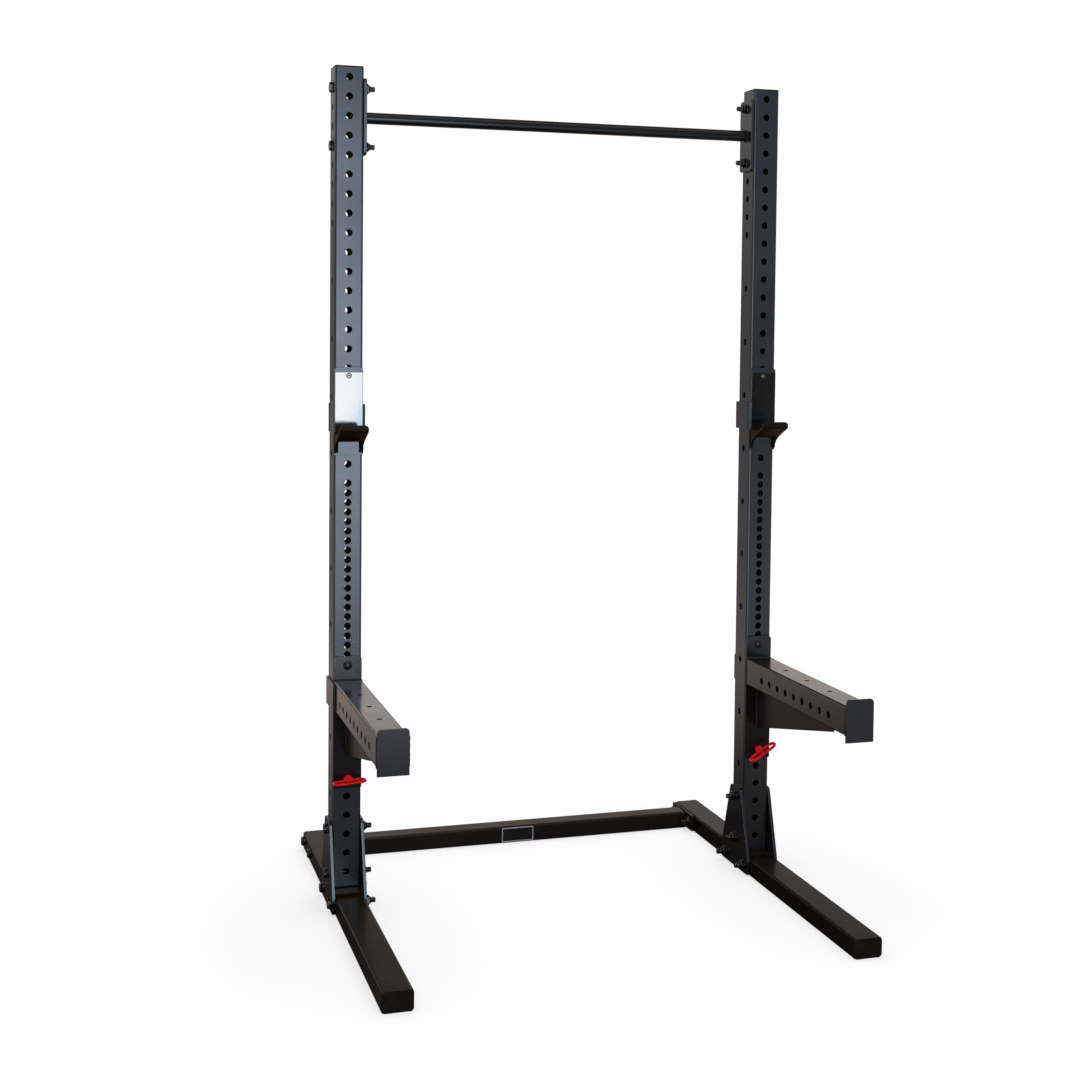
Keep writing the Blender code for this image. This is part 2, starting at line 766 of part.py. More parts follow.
def lock_pin(name, side):
    """A lock pin through the arm's mount plate and the upright, with a knob and a loop handle."""
    x = side * CENTRE
    height = row_height(ARM_PIN_ROW)
    origin = (x, 0, height)
    knob_centre = FRONT_OF_PLATE - KNOB / 2
    front = knob_centre - KNOB / 2 + GAP
    shaft = bmesh.new()
    add_rod(shaft, (x, (FRONT_OF_PLATE + PIN_REAR) / 2, height), PIN, PIN_REAR - FRONT_OF_PLATE, 1, 12)
    piece(name + "_lock_pin_shaft", shaft, BLACK_STEEL, origin)

    knob = bmesh.new()
    bmesh.ops.create_uvsphere(
        knob,
        u_segments=12,
        v_segments=8,
        radius=KNOB / 2,
        matrix=Matrix.Translation((x, knob_centre - GAP, height)) @ Matrix.Rotation(math.pi / 2, 4, "X"),
    )
    handle = piece(name + "_lock_pin_handle", knob, RED_COAT, origin)
    loop_centre = front - LOOP_DEPTH / 2 + LOOP_ROD / 2
    roll = Matrix.Rotation(-math.radians(LOOP_ROLL[name]), 4, "Y")
    combine(handle, loop_mesh(Matrix.Translation((x, loop_centre, height)) @ roll), "UNION", "loop")


for side_name, side_sign in SIDES.items():
    upright(side_name, side_sign)
    foot(side_name, side_sign)
    base_joint(side_name, side_sign)
    cross_beam_joint(side_name, side_sign)
    bar_joint(side_name, side_sign)
    j_cup(side_name, side_sign)
    spotter_arm(side_name, side_sign)
    lock_pin(side_name, side_sign)
cross_beam()
pull_up_bar()
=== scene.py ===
"""Looks of a half rack: drilled steel uprights on foot beams, a pull-up bar, a rear cross beam, two
J-cups with bright wear plates, two spotter arms and two red lock pins.

Sizes are in metres. Pieces are laid out from the uprights' centre line, and settle() moves each mesh
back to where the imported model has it. Side -1 is the left upright and side +1 the right one.
"""

import math
from types import SimpleNamespace

import bmesh
import bpy
from mathutils import Euler, Matrix, Vector


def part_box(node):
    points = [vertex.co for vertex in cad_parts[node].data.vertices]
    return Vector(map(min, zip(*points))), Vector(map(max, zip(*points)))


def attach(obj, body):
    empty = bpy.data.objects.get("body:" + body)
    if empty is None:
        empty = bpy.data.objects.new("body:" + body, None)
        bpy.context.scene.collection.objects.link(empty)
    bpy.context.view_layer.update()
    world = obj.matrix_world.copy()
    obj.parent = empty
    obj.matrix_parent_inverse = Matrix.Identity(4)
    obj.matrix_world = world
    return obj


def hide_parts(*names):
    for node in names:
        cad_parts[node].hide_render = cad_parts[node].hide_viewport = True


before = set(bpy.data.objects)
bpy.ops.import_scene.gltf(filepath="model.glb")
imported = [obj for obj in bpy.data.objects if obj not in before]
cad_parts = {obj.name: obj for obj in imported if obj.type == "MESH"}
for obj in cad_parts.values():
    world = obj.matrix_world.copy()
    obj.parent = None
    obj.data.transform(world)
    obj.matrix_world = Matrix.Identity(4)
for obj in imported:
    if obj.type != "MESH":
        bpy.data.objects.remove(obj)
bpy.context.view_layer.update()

# Sizes shared with the solids
GAP = 0.0003
WALL = 0.003
TUBE = 0.075
HALF = TUBE / 2
TUBE_RADIUS = 0.006
PLATE_RADIUS = 0.01
FOOT_HEIGHT = 0.05
SADDLE_TOP = 0.058
HOLE = 0.0185
PITCH = 0.05
GUSSET = 0.008
PLATE = 0.006
CRADLE = 0.008
LINER = 0.003
CENTRE = sum(corner.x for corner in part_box("right_upright")) / 2
DATUM_Y = sum(corner.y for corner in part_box("right_upright")) / 2
UPRIGHT_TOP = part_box("right_upright")[1].z
FIRST_HOLE = UPRIGHT_TOP - 0.025
BAR_HEIGHT = FIRST_HOLE - 2 * PITCH
PLATE_BACK = -(HALF + GAP)
PLATE_FACE = PLATE_BACK - PLATE
ON_PLATE = PLATE_FACE - GAP
CUP_PEG = FIRST_HOLE - 16 * PITCH
CUP_FLOOR = CUP_PEG - 0.12
CUP_UNDER = CUP_FLOOR - CRADLE
LIP_TOP = CUP_FLOOR + 0.026
ARM_PEG = FIRST_HOLE - 30.5 * PITCH
ARM_PIN = FIRST_HOLE - 36.5 * PITCH
ARM_TOP = ARM_PEG - 0.04
ARM_BOTTOM = ARM_TOP - TUBE
SIDES = {"left": -1, "right": 1}

# The (Y, Z) of the two bolts in each row from side to side
BASE_BOLTS = ((0, 0.206), (0, 0.086))
FOOT_BOLTS = ((-0.063, 0.026), (0.063, 0.026))
CROSS_BOLTS = ((0.341, 0.029), (0.455, 0.029))
BAR_BOLTS = ((0, FIRST_HOLE - 0.5 * PITCH), (0, FIRST_HOLE - 3.5 * PITCH))

# The radius at a hexagon's corners, for 1 from flat to flat
HEXAGON = 0.57735

# Turns that point +Z to the right, to the front, to the back and up
ACROSS = (0.0, math.pi / 2, 0.0)
FORWARD = (math.pi / 2, 0.0, 0.0)
BACKWARD = (-math.pi / 2, 0.0, 0.0)
UPWARD = (0.0, 0.0, 0.0)


# Node trees: add() and its kin put nodes in the tree begun last
TREES = []


def node(kind, feeds=None, **settings):
    """A node with its settings, and what feeds its sockets: a value, another socket, or several."""
    made = TREES[-1].nodes.new(kind)
    for setting, value in settings.items():
        setattr(made, setting, value)
    for socket, sources in (feeds or {}).items():
        for source in sources if isinstance(sources, list) else [sources]:
            if isinstance(source, bpy.types.NodeSocket):
                TREES[-1].links.new(source, made.inputs[socket])
            else:
                made.inputs[socket].default_value = source
    return made


def add(kind, feeds=None, **settings):
    """The first output of a new node."""
    return node(kind, feeds, **settings).outputs[0]


def maths(operation, *values):
    return add("ShaderNodeMath", dict(enumerate(values)), operation=operation)


def ramp(factor, *stops):
    """A colour ramp from (place, red, green, blue) stops."""
    made = node("ShaderNodeValToRGB", {"Fac": factor})
    elements = made.color_ramp.elements
    while len(elements) < len(stops):
        elements.new(0.5)
    for element, (place, *colour) in zip(elements, stops):
        element.position = place
        element.color = (*colour, 1.0)
    return made.outputs["Color"]


def spread(value, low, high, new_low, new_high):
    """A value carried from one range to another."""
    feeds = {"Value": value, "From Min": low, "From Max": high, "To Min": new_low, "To Max": new_high}
    return add("ShaderNodeMapRange", feeds)


def varied(noise, low, high):
    """A range that follows a noise, most of whose values lie between 0.3 and 0.7."""
    return spread(noise, 0.3, 0.7, low, high)


def grain(place, scale, detail=3.0, rough=0.55):
    """A noise of one scale, or stretched by a scale for each axis."""
    if isinstance(scale, tuple):
        place, scale = add("ShaderNodeMapping", {"Vector": place, "Scale": scale}), 1.0
    feeds = {"Vector": place, "Scale": scale, "Detail": detail, "Roughness": rough}
    return add("ShaderNodeTexNoise", feeds)


def axis_of(place, axis):
    return node("ShaderNodeSeparateXYZ", {"Vector": place}).outputs[axis]


def bump(height, strength, distance, under=None):
    feeds = {"Height": height, "Strength": strength, "Distance": distance}
    if under:
        feeds["Normal"] = under
    return add("ShaderNodeBump", feeds)


def blank(kind, name):
    """A new material or world, whose empty tree is begun."""
    made = kind.new(name)
    made.use_nodes = True
    made.node_tree.nodes.clear()
    TREES.append(made.node_tree)
    return made


def surface(name, feeds_of):
    """A material whose Principled shader is fed by feeds_of(place), and the slot it fills."""
    material = blank(bpy.data.materials, name)
    place = node("ShaderNodeTexCoord").outputs["Object"]
    shader = add("ShaderNodeBsdfPrincipled", feeds_of(place))
    node("ShaderNodeOutputMaterial", {"Surface": shader})
    return material


def edge_mark():
    """1 on a piece's eased edges, 0 elsewhere."""
    return node("ShaderNodeAttribute", attribute_name="edge").outputs["Fac"]


def painted_shade_below_arm(place):
    """Specular level of an arm's mount plate, lowered behind and under the arm: painted shade that dims the
    plate's reflections there.
    """
    return spread(axis_of(place, "Z"), ARM_BOTTOM, ARM_TOP + 0.06, 0.28, 0.8)


GREY_EDGE = (0.06, 0.06, 0.065)
BROWN_EDGE = (0.034, 0.028, 0.023)


def coat(name, low, high, gloss, specular, rubbed_tone=GREY_EDGE, tint=(0.76, 0.88, 1.0, 1), index=1.8):
    """Satin powder coat: fine orange peel, slow changes of tone, and edges rubbed a little lighter."""

    def feeds(place):
        cloud = grain(place, 5.0, 4.0)
        peel = grain(place, 900.0, 2.0)
        waves = grain(place, 160.0, 1.0)
        patches = spread(grain(place, 60.0), 0.42, 0.62, 0.0, 1.0)
        rubbed = maths("MULTIPLY", edge_mark(), patches)
        worn = maths("MULTIPLY_ADD", rubbed, 0.5, varied(cloud, 0.0, 0.5))
        return {
            "Base Color": ramp(worn, (0.0, *low), (0.5, *high), (1.0, *rubbed_tone)),
            "Roughness": varied(cloud, gloss - 0.04, gloss + 0.05),
            "Specular IOR Level": specular(place) if callable(specular) else specular,
            "Specular Tint": tint,
            "IOR": index,
            "Normal": bump(peel, 0.14, 0.0003, bump(waves, 0.08, 0.0006)),
        }

    return surface(name + "_powder_coat", feeds)


def clouded(cloud, dark, pale, smooth, rough):
    """Feeds of a shader whose tone and roughness follow one noise."""
    tone = ramp(cloud, (0.3, *dark), (0.7, *pale))
    return {"Base Color": tone, "Roughness": varied(cloud, smooth, rough)}


def moulded_plastic(place):
    """Black polyethylene with a fine moulded grain."""
    cloud = grain(place, 30.0)
    cells = add("ShaderNodeTexVoronoi", {"Vector": place, "Scale": 750.0})
    return clouded(cloud, (0.009, 0.0068, 0.0054), (0.015, 0.0118, 0.0096), 0.36, 0.48) | {
        "Specular IOR Level": 0.3,
        "Normal": bump(cells, 0.25, 0.0002),
    }


def blackened_steel(place):
    """Black oxide steel: dark and glossy on its flats, with a painted highlight that makes it brighter along
    its edges.
    """
    cloud = grain(place, 220.0)
    # Painted highlight: the eased edges take a far lighter metal colour, standing in for glints.
    painted_glints_and_tone = maths("MULTIPLY_ADD", edge_mark(), 0.6, varied(cloud, 0.0, 0.4))
    stops = (0.0, 0.028, 0.028, 0.03), (0.35, 0.075, 0.075, 0.08), (0.8, 0.62, 0.63, 0.65)
    return {
        "Base Color": ramp(painted_glints_and_tone, *stops),
        "Metallic": 1.0,
        "Roughness": varied(cloud, 0.08, 0.15),
        "Normal": bump(cloud, 0.08, 0.0002),
    }


def painted_peg(place):
    """Steel painted black, with a soft sheen."""
    cloud = grain(place, 160.0)
    return clouded(cloud, (0.01, 0.009, 0.009), (0.02, 0.019, 0.02), 0.18, 0.3) | {
        "Specular IOR Level": 0.6,
        "IOR": 1.6,
        "Normal": bump(cloud, 0.1, 0.0002),
    }


def bright_steel(place):
    """Ground stainless steel: a faint upright grain, painted shade that makes it darker and cooler towards
    its lower inner corner, and a band of rub marks where a bar drops in."""
    fine = grain(place, (900.0, 900.0, 16.0), 3.0, 0.7)
    marks = grain(place, (14.0, 14.0, 320.0), 2.0, 0.6)
    haze = grain(place, (9.0, 9.0, 4.0), 1.0)
    height = axis_of(place, "Z")
    low_down = spread(height, CUP_PEG - 0.085, CUP_PEG - 0.058, 1.0, 0.0)
    rubs = maths("MULTIPLY", spread(marks, 0.55, 0.75, 0.0, 1.0), low_down)
    cloud = maths("MULTIPLY_ADD", fine, 0.1, varied(haze, 0.0, 0.35))
    # Painted shade: darker and cooler low down towards the cradle, and towards the inner side.
    painted_shade_rise = spread(height, CUP_PEG - 0.11, CUP_PEG - 0.02, 0.0, 0.5)
    outward = maths("ABSOLUTE", axis_of(place, "X"))
    lean = spread(outward, CENTRE - 0.036, CENTRE + 0.03, -0.25, 0.35)
    polish_and_shade = maths("ADD", maths("ADD", cloud, painted_shade_rise), lean)
    polish_and_shade = maths("MULTIPLY_ADD", rubs, -0.5, polish_and_shade)
    stops = (0.1, 0.23, 0.3, 0.37), (0.5, 0.39, 0.4, 0.405), (0.8, 0.435, 0.428, 0.415)
    return {
        "Base Color": ramp(polish_and_shade, *stops),
        "Metallic": 1.0,
        "Roughness": maths("MULTIPLY_ADD", rubs, 0.15, varied(fine, 0.1, 0.14)),
        "Normal": bump(fine, 0.03, 0.0001, bump(rubs, 0.12, 0.0001)),
    }


def red_gloss(place):
    """Thick glossy red dip coat, with soft runs."""
    runs = grain(place, 70.0, 1.0)
    return clouded(runs, (0.74, 0.001, 0.003), (0.98, 0.003, 0.006), 0.08, 0.15) | {
        "Specular IOR Level": 0.1,
        "Coat Weight": 0.8,
        "Coat Roughness": 0.02,
        "Normal": bump(runs, 0.25, 0.0006),
    }


def brushed(name, scale, metallic, *looks):
    """Sheet metal with a fine sideways grain."""

    def feeds(place):
        fine = grain(place, scale)
        return clouded(fine, *looks) | {"Metallic": metallic, "Normal": bump(fine, 0.06, 0.0001)}

    return surface(name, feeds)


COAT = coat("satin_black", (0.006, 0.0052, 0.0048), (0.0095, 0.0085, 0.008), 0.26, 1.0)
BAR_COAT = coat(
    "pull_up_bar", (0.007, 0.0052, 0.004), (0.0105, 0.0082, 0.0066), 0.16, 0.95,
    tint=(0.7, 0.87, 1.0, 1), index=1.5,
)
# Painted shade: a browner copy of the coat with almost no gloss, for the pieces down at the floor.
SHADED_FOOT_COAT = coat(
    "floor_level", (0.007, 0.0044, 0.002), (0.01, 0.0068, 0.0038), 0.26, 0.08,
    BROWN_EDGE, (1.0, 0.85, 0.72, 1),
)
CROSS_COAT = coat(
    "cross_beam", (0.014, 0.0112, 0.0104), (0.0195, 0.0162, 0.0148), 0.32, 0.16,
    BROWN_EDGE, (1.0, 0.9, 0.86, 1),
)
ARM_TONES = (0.006, 0.005, 0.0044), (0.0095, 0.0082, 0.0074)
ARM_COAT = coat("spotter_arm", *ARM_TONES, 0.15, 0.66, tint=(0.82, 0.86, 0.97, 1))
# The mount plate's specular level drops behind and under the arm: painted shade in its reflections.
MOUNT_COAT = coat("arm_mount", *ARM_TONES, 0.24, painted_shade_below_arm, tint=(0.8, 0.88, 0.98, 1))
# Painted shade: the gussets' copy of the coat is about half as light and browner, for the shade beside the foot
# beams.
SHADED_GUSSET_COAT = coat("gusset", (0.0028, 0.0015, 0.0008), (0.0046, 0.0028, 0.0018), 0.26, 0.9)
CUP_COAT = coat(
    "matt_black", (0.0066, 0.0044, 0.0031), (0.0098, 0.007, 0.0052), 0.48, 0.12,
    BROWN_EDGE, (1.0, 0.88, 0.78, 1),
)
PLASTIC = surface("black_moulded_plastic", moulded_plastic)
BLACK_STEEL = surface("black_oxide_steel", blackened_steel)
PEG_BLACK = surface("black_painted_peg", painted_peg)
BRIGHT_STEEL = surface("ground_stainless_steel", bright_steel)
RED = surface("red_dip_coat", red_gloss)
DARK_SHEET = (0.008, 0.008, 0.009), (0.016, 0.016, 0.018), 0.3, 0.42
BADGE_BLACK = brushed("black_anodised_sheet", (30.0, 30.0, 1500.0), 0.0, *DARK_SHEET)
PALE_SHEET = (0.6, 0.66, 0.74), (0.76, 0.82, 0.9), 0.24, 0.36
BADGE_RIM = brushed("brushed_aluminium", (40.0, 40.0, 1800.0), 0.3, *PALE_SHEET)


# Geometry trees
def geometry_tree(name, **inputs):
    """Begins a geometry tree with a named input for each value. Gives what its inputs feed."""
    tree = bpy.data.node_groups.new(name, "GeometryNodeTree")
    kinds = {float: "Float", int: "Int", tuple: "Vector"}
    sockets = {label: kinds[type(value)] for label, value in inputs.items()}
    for label, kind in {"geometry": "Geometry", **sockets, "finish": "Material"}.items():
        title = label.replace("_", " ").title()
        socket = tree.interface.new_socket(title, in_out="INPUT", socket_type="NodeSocket" + kind)
        if label in inputs:
            socket.default_value = inputs[label]
    tree.interface.new_socket("Geometry", in_out="OUTPUT", socket_type="NodeSocketGeometry")
    TREES.append(tree)
    given = node("NodeGroupInput").outputs
    return SimpleNamespace(**{label_of(socket): socket for socket in given if socket.name})


def label_of(socket):
    return socket.name.lower().replace(" ", "_")


def end_tree(given, geometry):
    """Ends a tree in Realize Instances and Set Material."""
    plain = add("GeometryNodeRealizeInstances", {"Geometry": geometry})
    painted = add("GeometryNodeSetMaterial", {"Geometry": plain, "Material": given.finish})
    node("NodeGroupOutput", {0: painted})
    return TREES[-1]


def up_by(height):
    return add("ShaderNodeCombineXYZ", {"Z": height})


def moved(mesh, shift=(0, 0, 0), turn=(0, 0, 0)):
    return add("GeometryNodeTransform", {"Geometry": mesh, "Translation": shift, "Rotation": turn})


def cylinder(radius, depth, sides):
    return add("GeometryNodeMeshCylinder", {"Vertices": sides, "Radius": radius, "Depth": depth})


def boolean(feeds, operation="DIFFERENCE"):
    return add("GeometryNodeMeshBoolean", feeds, operation=operation, solver="EXACT")


def tube_tree():
    """A box tube with round corners: a filleted profile swept along a line, less its bore."""
    given = geometry_tree(
        "box_tube", width=TUBE, depth=TUBE, length=1.0, corner_radius=TUBE_RADIUS, wall=WALL,
        start=(0, 0, 0), turn=(0, 0, 0),
    )

    def less_walls(size, times):
        return maths("MULTIPLY_ADD", given.wall, -times, size)

    def sweep(width, depth, radius, start, end):
        square = add("GeometryNodeCurvePrimitiveQuadrilateral", {"Width": width, "Height": depth})
        feeds = {"Curve": square, "Radius": radius, "Count": 7}
        profile = add("GeometryNodeFilletCurve", feeds, mode="POLY")
        line = add("GeometryNodeCurvePrimitiveLine", {"Start": start, "End": end})
        feeds = {"Curve": line, "Profile Curve": profile, "Fill Caps": True}
        return add("GeometryNodeCurveToMesh", feeds)

    end = up_by(given.length)
    ends = [{0: end, "Scale": part} for part in (-0.2, 1.2)]
    before, past = [add("ShaderNodeVectorMath", feeds, operation="SCALE") for feeds in ends]
    outer = sweep(given.width, given.depth, given.corner_radius, (0, 0, 0), end)
    width, depth = less_walls(given.width, 2), less_walls(given.depth, 2)
    bore = sweep(width, depth, less_walls(given.corner_radius, 1), before, past)
    hollow = boolean({"Mesh 1": outer, "Mesh 2": bore})
    return end_tree(given, moved(hollow, given.start, given.turn))


def holes_tree():
    """A straight row of round holes, punched through a piece. Each punch is turned by half a facet, so
    that no corner of it falls on the line scored along the row."""
    given = geometry_tree(
        "row_of_holes", first_hole=(0, 0, 0), step=(0, 0, -PITCH), count=1, facets=28, diameter=HOLE,
        punch_length=2 * TUBE, punch_turn=FORWARD,
    )
    feeds = {"Count": given.count, "Start Location": given.first_hole, "Offset": given.step}
    places = add("GeometryNodeMeshLine", feeds, mode="OFFSET")
    radius = maths("MULTIPLY", given.diameter, 0.5)
    punch = cylinder(radius, given.punch_length, given.facets)
    punch = moved(punch, turn=up_by(maths("DIVIDE", math.pi, given.facets)))
    feeds = {"Points": places, "Instance": punch, "Rotation": given.punch_turn}
    punches = add("GeometryNodeInstanceOnPoints", feeds)
    solid = add("GeometryNodeRealizeInstances", {"Geometry": punches})
    return end_tree(given, boolean({"Mesh 1": given.geometry, "Mesh 2": solid}))


def bolt_tree():
    """A hexagon bolt with washers and a collared lock nut at each point, from its head along +Z."""
    given = geometry_tree(
        "bolts", grip=0.091, flat_to_flat=0.024, head=0.007, nut=0.008, collar=0.005, washer=0.002,
        shank=0.014, tail=0.012, thread_pitch=0.002, turn=(0, 0, 0), seed=3,
    )
    flats, washer, tail = given.flat_to_flat, given.washer, given.tail

    def plus(first, second):
        return maths("ADD", first, second)

    def times(first, second):
        return maths("MULTIPLY", first, second)

    def rod(radius, depth, sides, low):
        middle = plus(low, times(depth, 0.5))
        return moved(cylinder(radius, depth, sides), up_by(middle))

    def cone(bottom, top, depth, low):
        feeds = {"Vertices": 40, "Radius Bottom": bottom, "Radius Top": top, "Depth": depth}
        return moved(add("GeometryNodeMeshCone", feeds), up_by(low))

    corner = times(flats, HEXAGON)
    crown = times(flats, 0.475)

    def hexagon(depth, low, face_down):
        """A hexagon prism whose outer face is chamfered to a circle."""
        prism = rod(corner, depth, 6, low)
        wide = plus(crown, times(depth, 1.9))
        chamfer = cone(crown, wide, depth, low) if face_down else cone(wide, crown, depth, low)
        return boolean({"Mesh 2": [prism, chamfer]}, "INTERSECT")

    washer_radius = times(flats, 0.6)
    washer_depth = times(washer, 0.9)
    after = plus(given.grip, washer)
    collar_low = plus(after, given.nut)
    tail_low = plus(collar_low, given.collar)
    shank_radius = times(given.shank, 0.5)
    core = times(shank_radius, 0.93)
    point = 0.001
    thread_length = plus(tail, -0.0015)
    feeds = {
        "Resolution": 20,
        "Rotations": maths("DIVIDE", thread_length, given.thread_pitch),
        "Start Radius": core,
        "End Radius": core,
        "Height": thread_length,
    }
    spiral = moved(add("GeometryNodeCurveSpiral", feeds), up_by(tail_low))
    ridge = add("GeometryNodeCurvePrimitiveCircle", {"Resolution": 4, "Radius": 0.0008}, mode="RADIUS")
    feeds = {"Curve": spiral, "Profile Curve": ridge, "Fill Caps": True}
    thread = add("GeometryNodeCurveToMesh", feeds)
    parts = [
        hexagon(given.head, times(plus(washer, given.head), -1.0), True),
        rod(washer_radius, washer_depth, 32, times(washer, -0.95)),
        rod(shank_radius, plus(after, washer), 24, times(washer, -1.0)),
        rod(washer_radius, washer_depth, 32, plus(given.grip, 0.0001)),
        hexagon(given.nut, after, False),
        cone(times(flats, 0.46), times(flats, 0.33), given.collar, collar_low),
        rod(core, plus(tail, -point), 24, tail_low),
        cone(core, times(core, 0.8), point, plus(plus(tail_low, tail), -point)),
        thread,
    ]
    bolt = add("GeometryNodeJoinGeometry", {0: parts})
    feeds = {"Points": given.geometry, "Instance": bolt, "Rotation": given.turn}
    placed = add("GeometryNodeInstanceOnPoints", feeds)
    spin = node("GeometryNodeInputNamedAttribute", {"Name": "spin"}, data_type="FLOAT")
    feeds = {"Min": -0.06, "Max": 0.06, "Seed": given.seed}
    play = node("FunctionNodeRandomValue", feeds).outputs["Value"]
    about = up_by(plus(spin.outputs["Attribute"], play))
    feeds = {"Instances": placed, "Rotation": about, "Local Space": True}
    return end_tree(given, add("GeometryNodeRotateInstances", feeds))


def weld_tree():
    """A weld bead of overlapping ripples along each line of a piece."""
    given = geometry_tree("weld_bead", bead_radius=0.0028, ripple=0.0019, seed=7)
    line = add("GeometryNodeMeshToCurve", {"Mesh": given.geometry})
    steps = add("GeometryNodeResampleCurve", {"Curve": line, "Length": given.ripple}, mode="LENGTH")
    along = add("GeometryNodeInputTangent")
    turn = add("FunctionNodeAlignRotationToVector", {"Vector": along}, axis="Z")
    drop = add("GeometryNodeMeshUVSphere", {"Segments": 10, "Rings": 6, "Radius": given.bead_radius})
    feeds = {"Min": (0.85, 0.85, 0.62), "Max": (1.12, 1.12, 0.78), "Seed": given.seed}
    size = add("FunctionNodeRandomValue", feeds, data_type="FLOAT_VECTOR")
    feeds = {"Points": steps, "Instance": drop, "Rotation": turn, "Scale": size}
    return end_tree(given, add("GeometryNodeInstanceOnPoints", feeds))


BOX_TUBE = tube_tree()
HOLE_ROW = holes_tree()
BOLTS = bolt_tree()
WELD = weld_tree()


# Mesh code
def new_piece(name, bm=None):
    """An object from a bmesh, or from nothing where a tree makes the shape."""
    mesh = bpy.data.meshes.new(name)
    if bm is not None:
        bmesh.ops.recalc_face_normals(bm, faces=bm.faces)
        bm.to_mesh(mesh)
        bm.free()
    thing = bpy.data.objects.new(name, mesh)
    bpy.context.scene.collection.objects.link(thing)
    return thing


def plain_mesh(thing):
    """Turns what a piece's modifiers make into its plain mesh."""
    bpy.context.view_layer.update()
    graph = bpy.context.evaluated_depsgraph_get()
    made = bpy.data.meshes.new_from_object(thing.evaluated_get(graph))
    thing.modifiers.clear()
    thing.data = made


def run_tree(thing, tree, **values):
    """Runs a geometry tree on a piece, with its inputs set by their identifiers."""
    modifier = thing.modifiers.new(tree.name, "NODES")
    modifier.node_group = tree
    for socket in tree.interface.items_tree:
        if socket.in_out == "INPUT" and label_of(socket) in values:
            modifier[socket.identifier] = values[label_of(socket)]
    plain_mesh(thing)


def ease(thing, width, segments=2):
    """Rounds a piece's sharp edges and marks those faces, which a coat reads as rubbed edges and the black
    oxide steel as painted highlights.
    """
    thing.data.materials.clear()
    for _ in range(2):
        thing.data.materials.append(None)
    bevel = thing.modifiers.new("eased_edges", "BEVEL")
    bevel.width = width
    bevel.segments = segments
    bevel.limit_method = "ANGLE"
    bevel.angle_limit = math.radians(32)
    bevel.use_clamp_overlap = False
    bevel.material = 1
    plain_mesh(thing)
    faces = thing.data.polygons
    edge = thing.data.attributes.new("edge", "FLOAT", "FACE")
    edge.data.foreach_set("value", [float(face.material_index == 1) for face in faces])
    faces.foreach_set("material_index", [0] * len(faces))


def settle(thing, finish, nodes=(), body="frame", eased=0, segments=2, smooth=35, flats=True):
    """Eases, paints and places a piece, which rides on its body in the nodes' stead."""
    if eased:
        ease(thing, eased, segments)
    mesh = thing.data
    mesh.transform(Matrix.Translation((0, DATUM_Y, 0)))
    mesh.materials.clear()
    mesh.materials.append(finish)
    mesh.polygons.foreach_set("use_smooth", [True] * len(mesh.polygons))
    mesh.set_sharp_from_angle(angle=math.radians(smooth))
    if flats:
        flat = thing.modifiers.new("flat_faces", "WEIGHTED_NORMAL")
        flat.keep_sharp = True
        flat.weight = 80
        plain_mesh(thing)
    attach(thing, body)
    if nodes:
        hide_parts(*nodes)


def box(low, high):
    bm = bmesh.new()
    low, high = Vector(low), Vector(high)
    place = Matrix.Translation((low + high) / 2) @ Matrix.Diagonal((*(high - low), 1.0))
    bmesh.ops.create_cube(bm, size=1.0, matrix=place)
    return bm


def arc(centre, radius, start, end, steps):
    """Points on a circle between two angles in degrees."""
    angles = [math.radians(start + (end - start) * step / steps) for step in range(steps + 1)]
    return [(centre[0] + radius * math.cos(a), centre[1] + radius * math.sin(a)) for a in angles]


def rounded(low, high, radius, top_only=False, steps=6):
    """A rectangle's outline with round corners, or only its top two."""
    (x0, y0), (x1, y1) = low, high
    points = arc((x1 - radius, y1 - radius), radius, 0, 90, steps)
    points += arc((x0 + radius, y1 - radius), radius, 90, 180, steps)
    if top_only:
        return points + [(x0, y0), (x1, y0)]
    points += arc((x0 + radius, y0 + radius), radius, 180, 270, steps)
    return points + arc((x1 - radius, y0 + radius), radius, 270, 360, steps)


def across(x):
    """The plane at this X, for (Y, Z) points."""
    return Matrix(((0, 0, 1, x), (1, 0, 0, 0), (0, 1, 0, 0), (0, 0, 0, 1)))


def facing(y):
    """The plane at this Y, for (X, Z) points."""
    return Matrix(((1, 0, 0, 0), (0, 0, 1, y), (0, 1, 0, 0), (0, 0, 0, 1)))


def level(z):
    """The plane at this Z, for (X, Y) points."""
    return Matrix.Translation((0, 0, z))


def at(place, turn):
    return Matrix.Translation(place) @ Euler(turn).to_matrix().to_4x4()


def slab(points, thickness, place):
    """A flat outline given a thickness, both ways from its plane."""
    bm = bmesh.new()
    low = [bm.verts.new(place @ Vector((x, y, -thickness / 2))) for x, y in points]
    high = [bm.verts.new(place @ Vector((x, y, thickness / 2))) for x, y in points]
    bm.faces.new(low[::-1])
    bm.faces.new(high)
    skin(bm, [low, high])
    return bm


def skin(bm, rings, closed=False):
    """Faces between each ring of points and the next, and between the last and the first if closed."""
    steps = max(len(ring) for ring in rings)
    for ring, other in zip(rings, rings[1:] + rings[:1] if closed else rings[1:]):
        for i in range(steps):
            near, far = [[one[i % len(one)], one[(i + 1) % len(one)]] for one in (ring, other)]
            bm.faces.new(list(dict.fromkeys(near + far[::-1])))


def turned(profile, place, steps=32, closed=False, bm=None):
    """A solid turned about Z from (radius, height) points, or a ring from a closed profile. It joins
    what a given bmesh holds."""
    bm = bm or bmesh.new()
    rings = []
    for radius, height in profile:
        circle = arc((0, 0), radius, 0, 360 - 360 / steps, steps - 1) if radius > 1e-6 else [(0, 0)]
        rings.append([bm.verts.new(place @ Vector((x, y, height))) for x, y in circle])
    skin(bm, rings, closed)
    for ring in () if closed else (rings[0], rings[-1]):
        if len(ring) > 1:
            bm.faces.new(ring)
    return bm


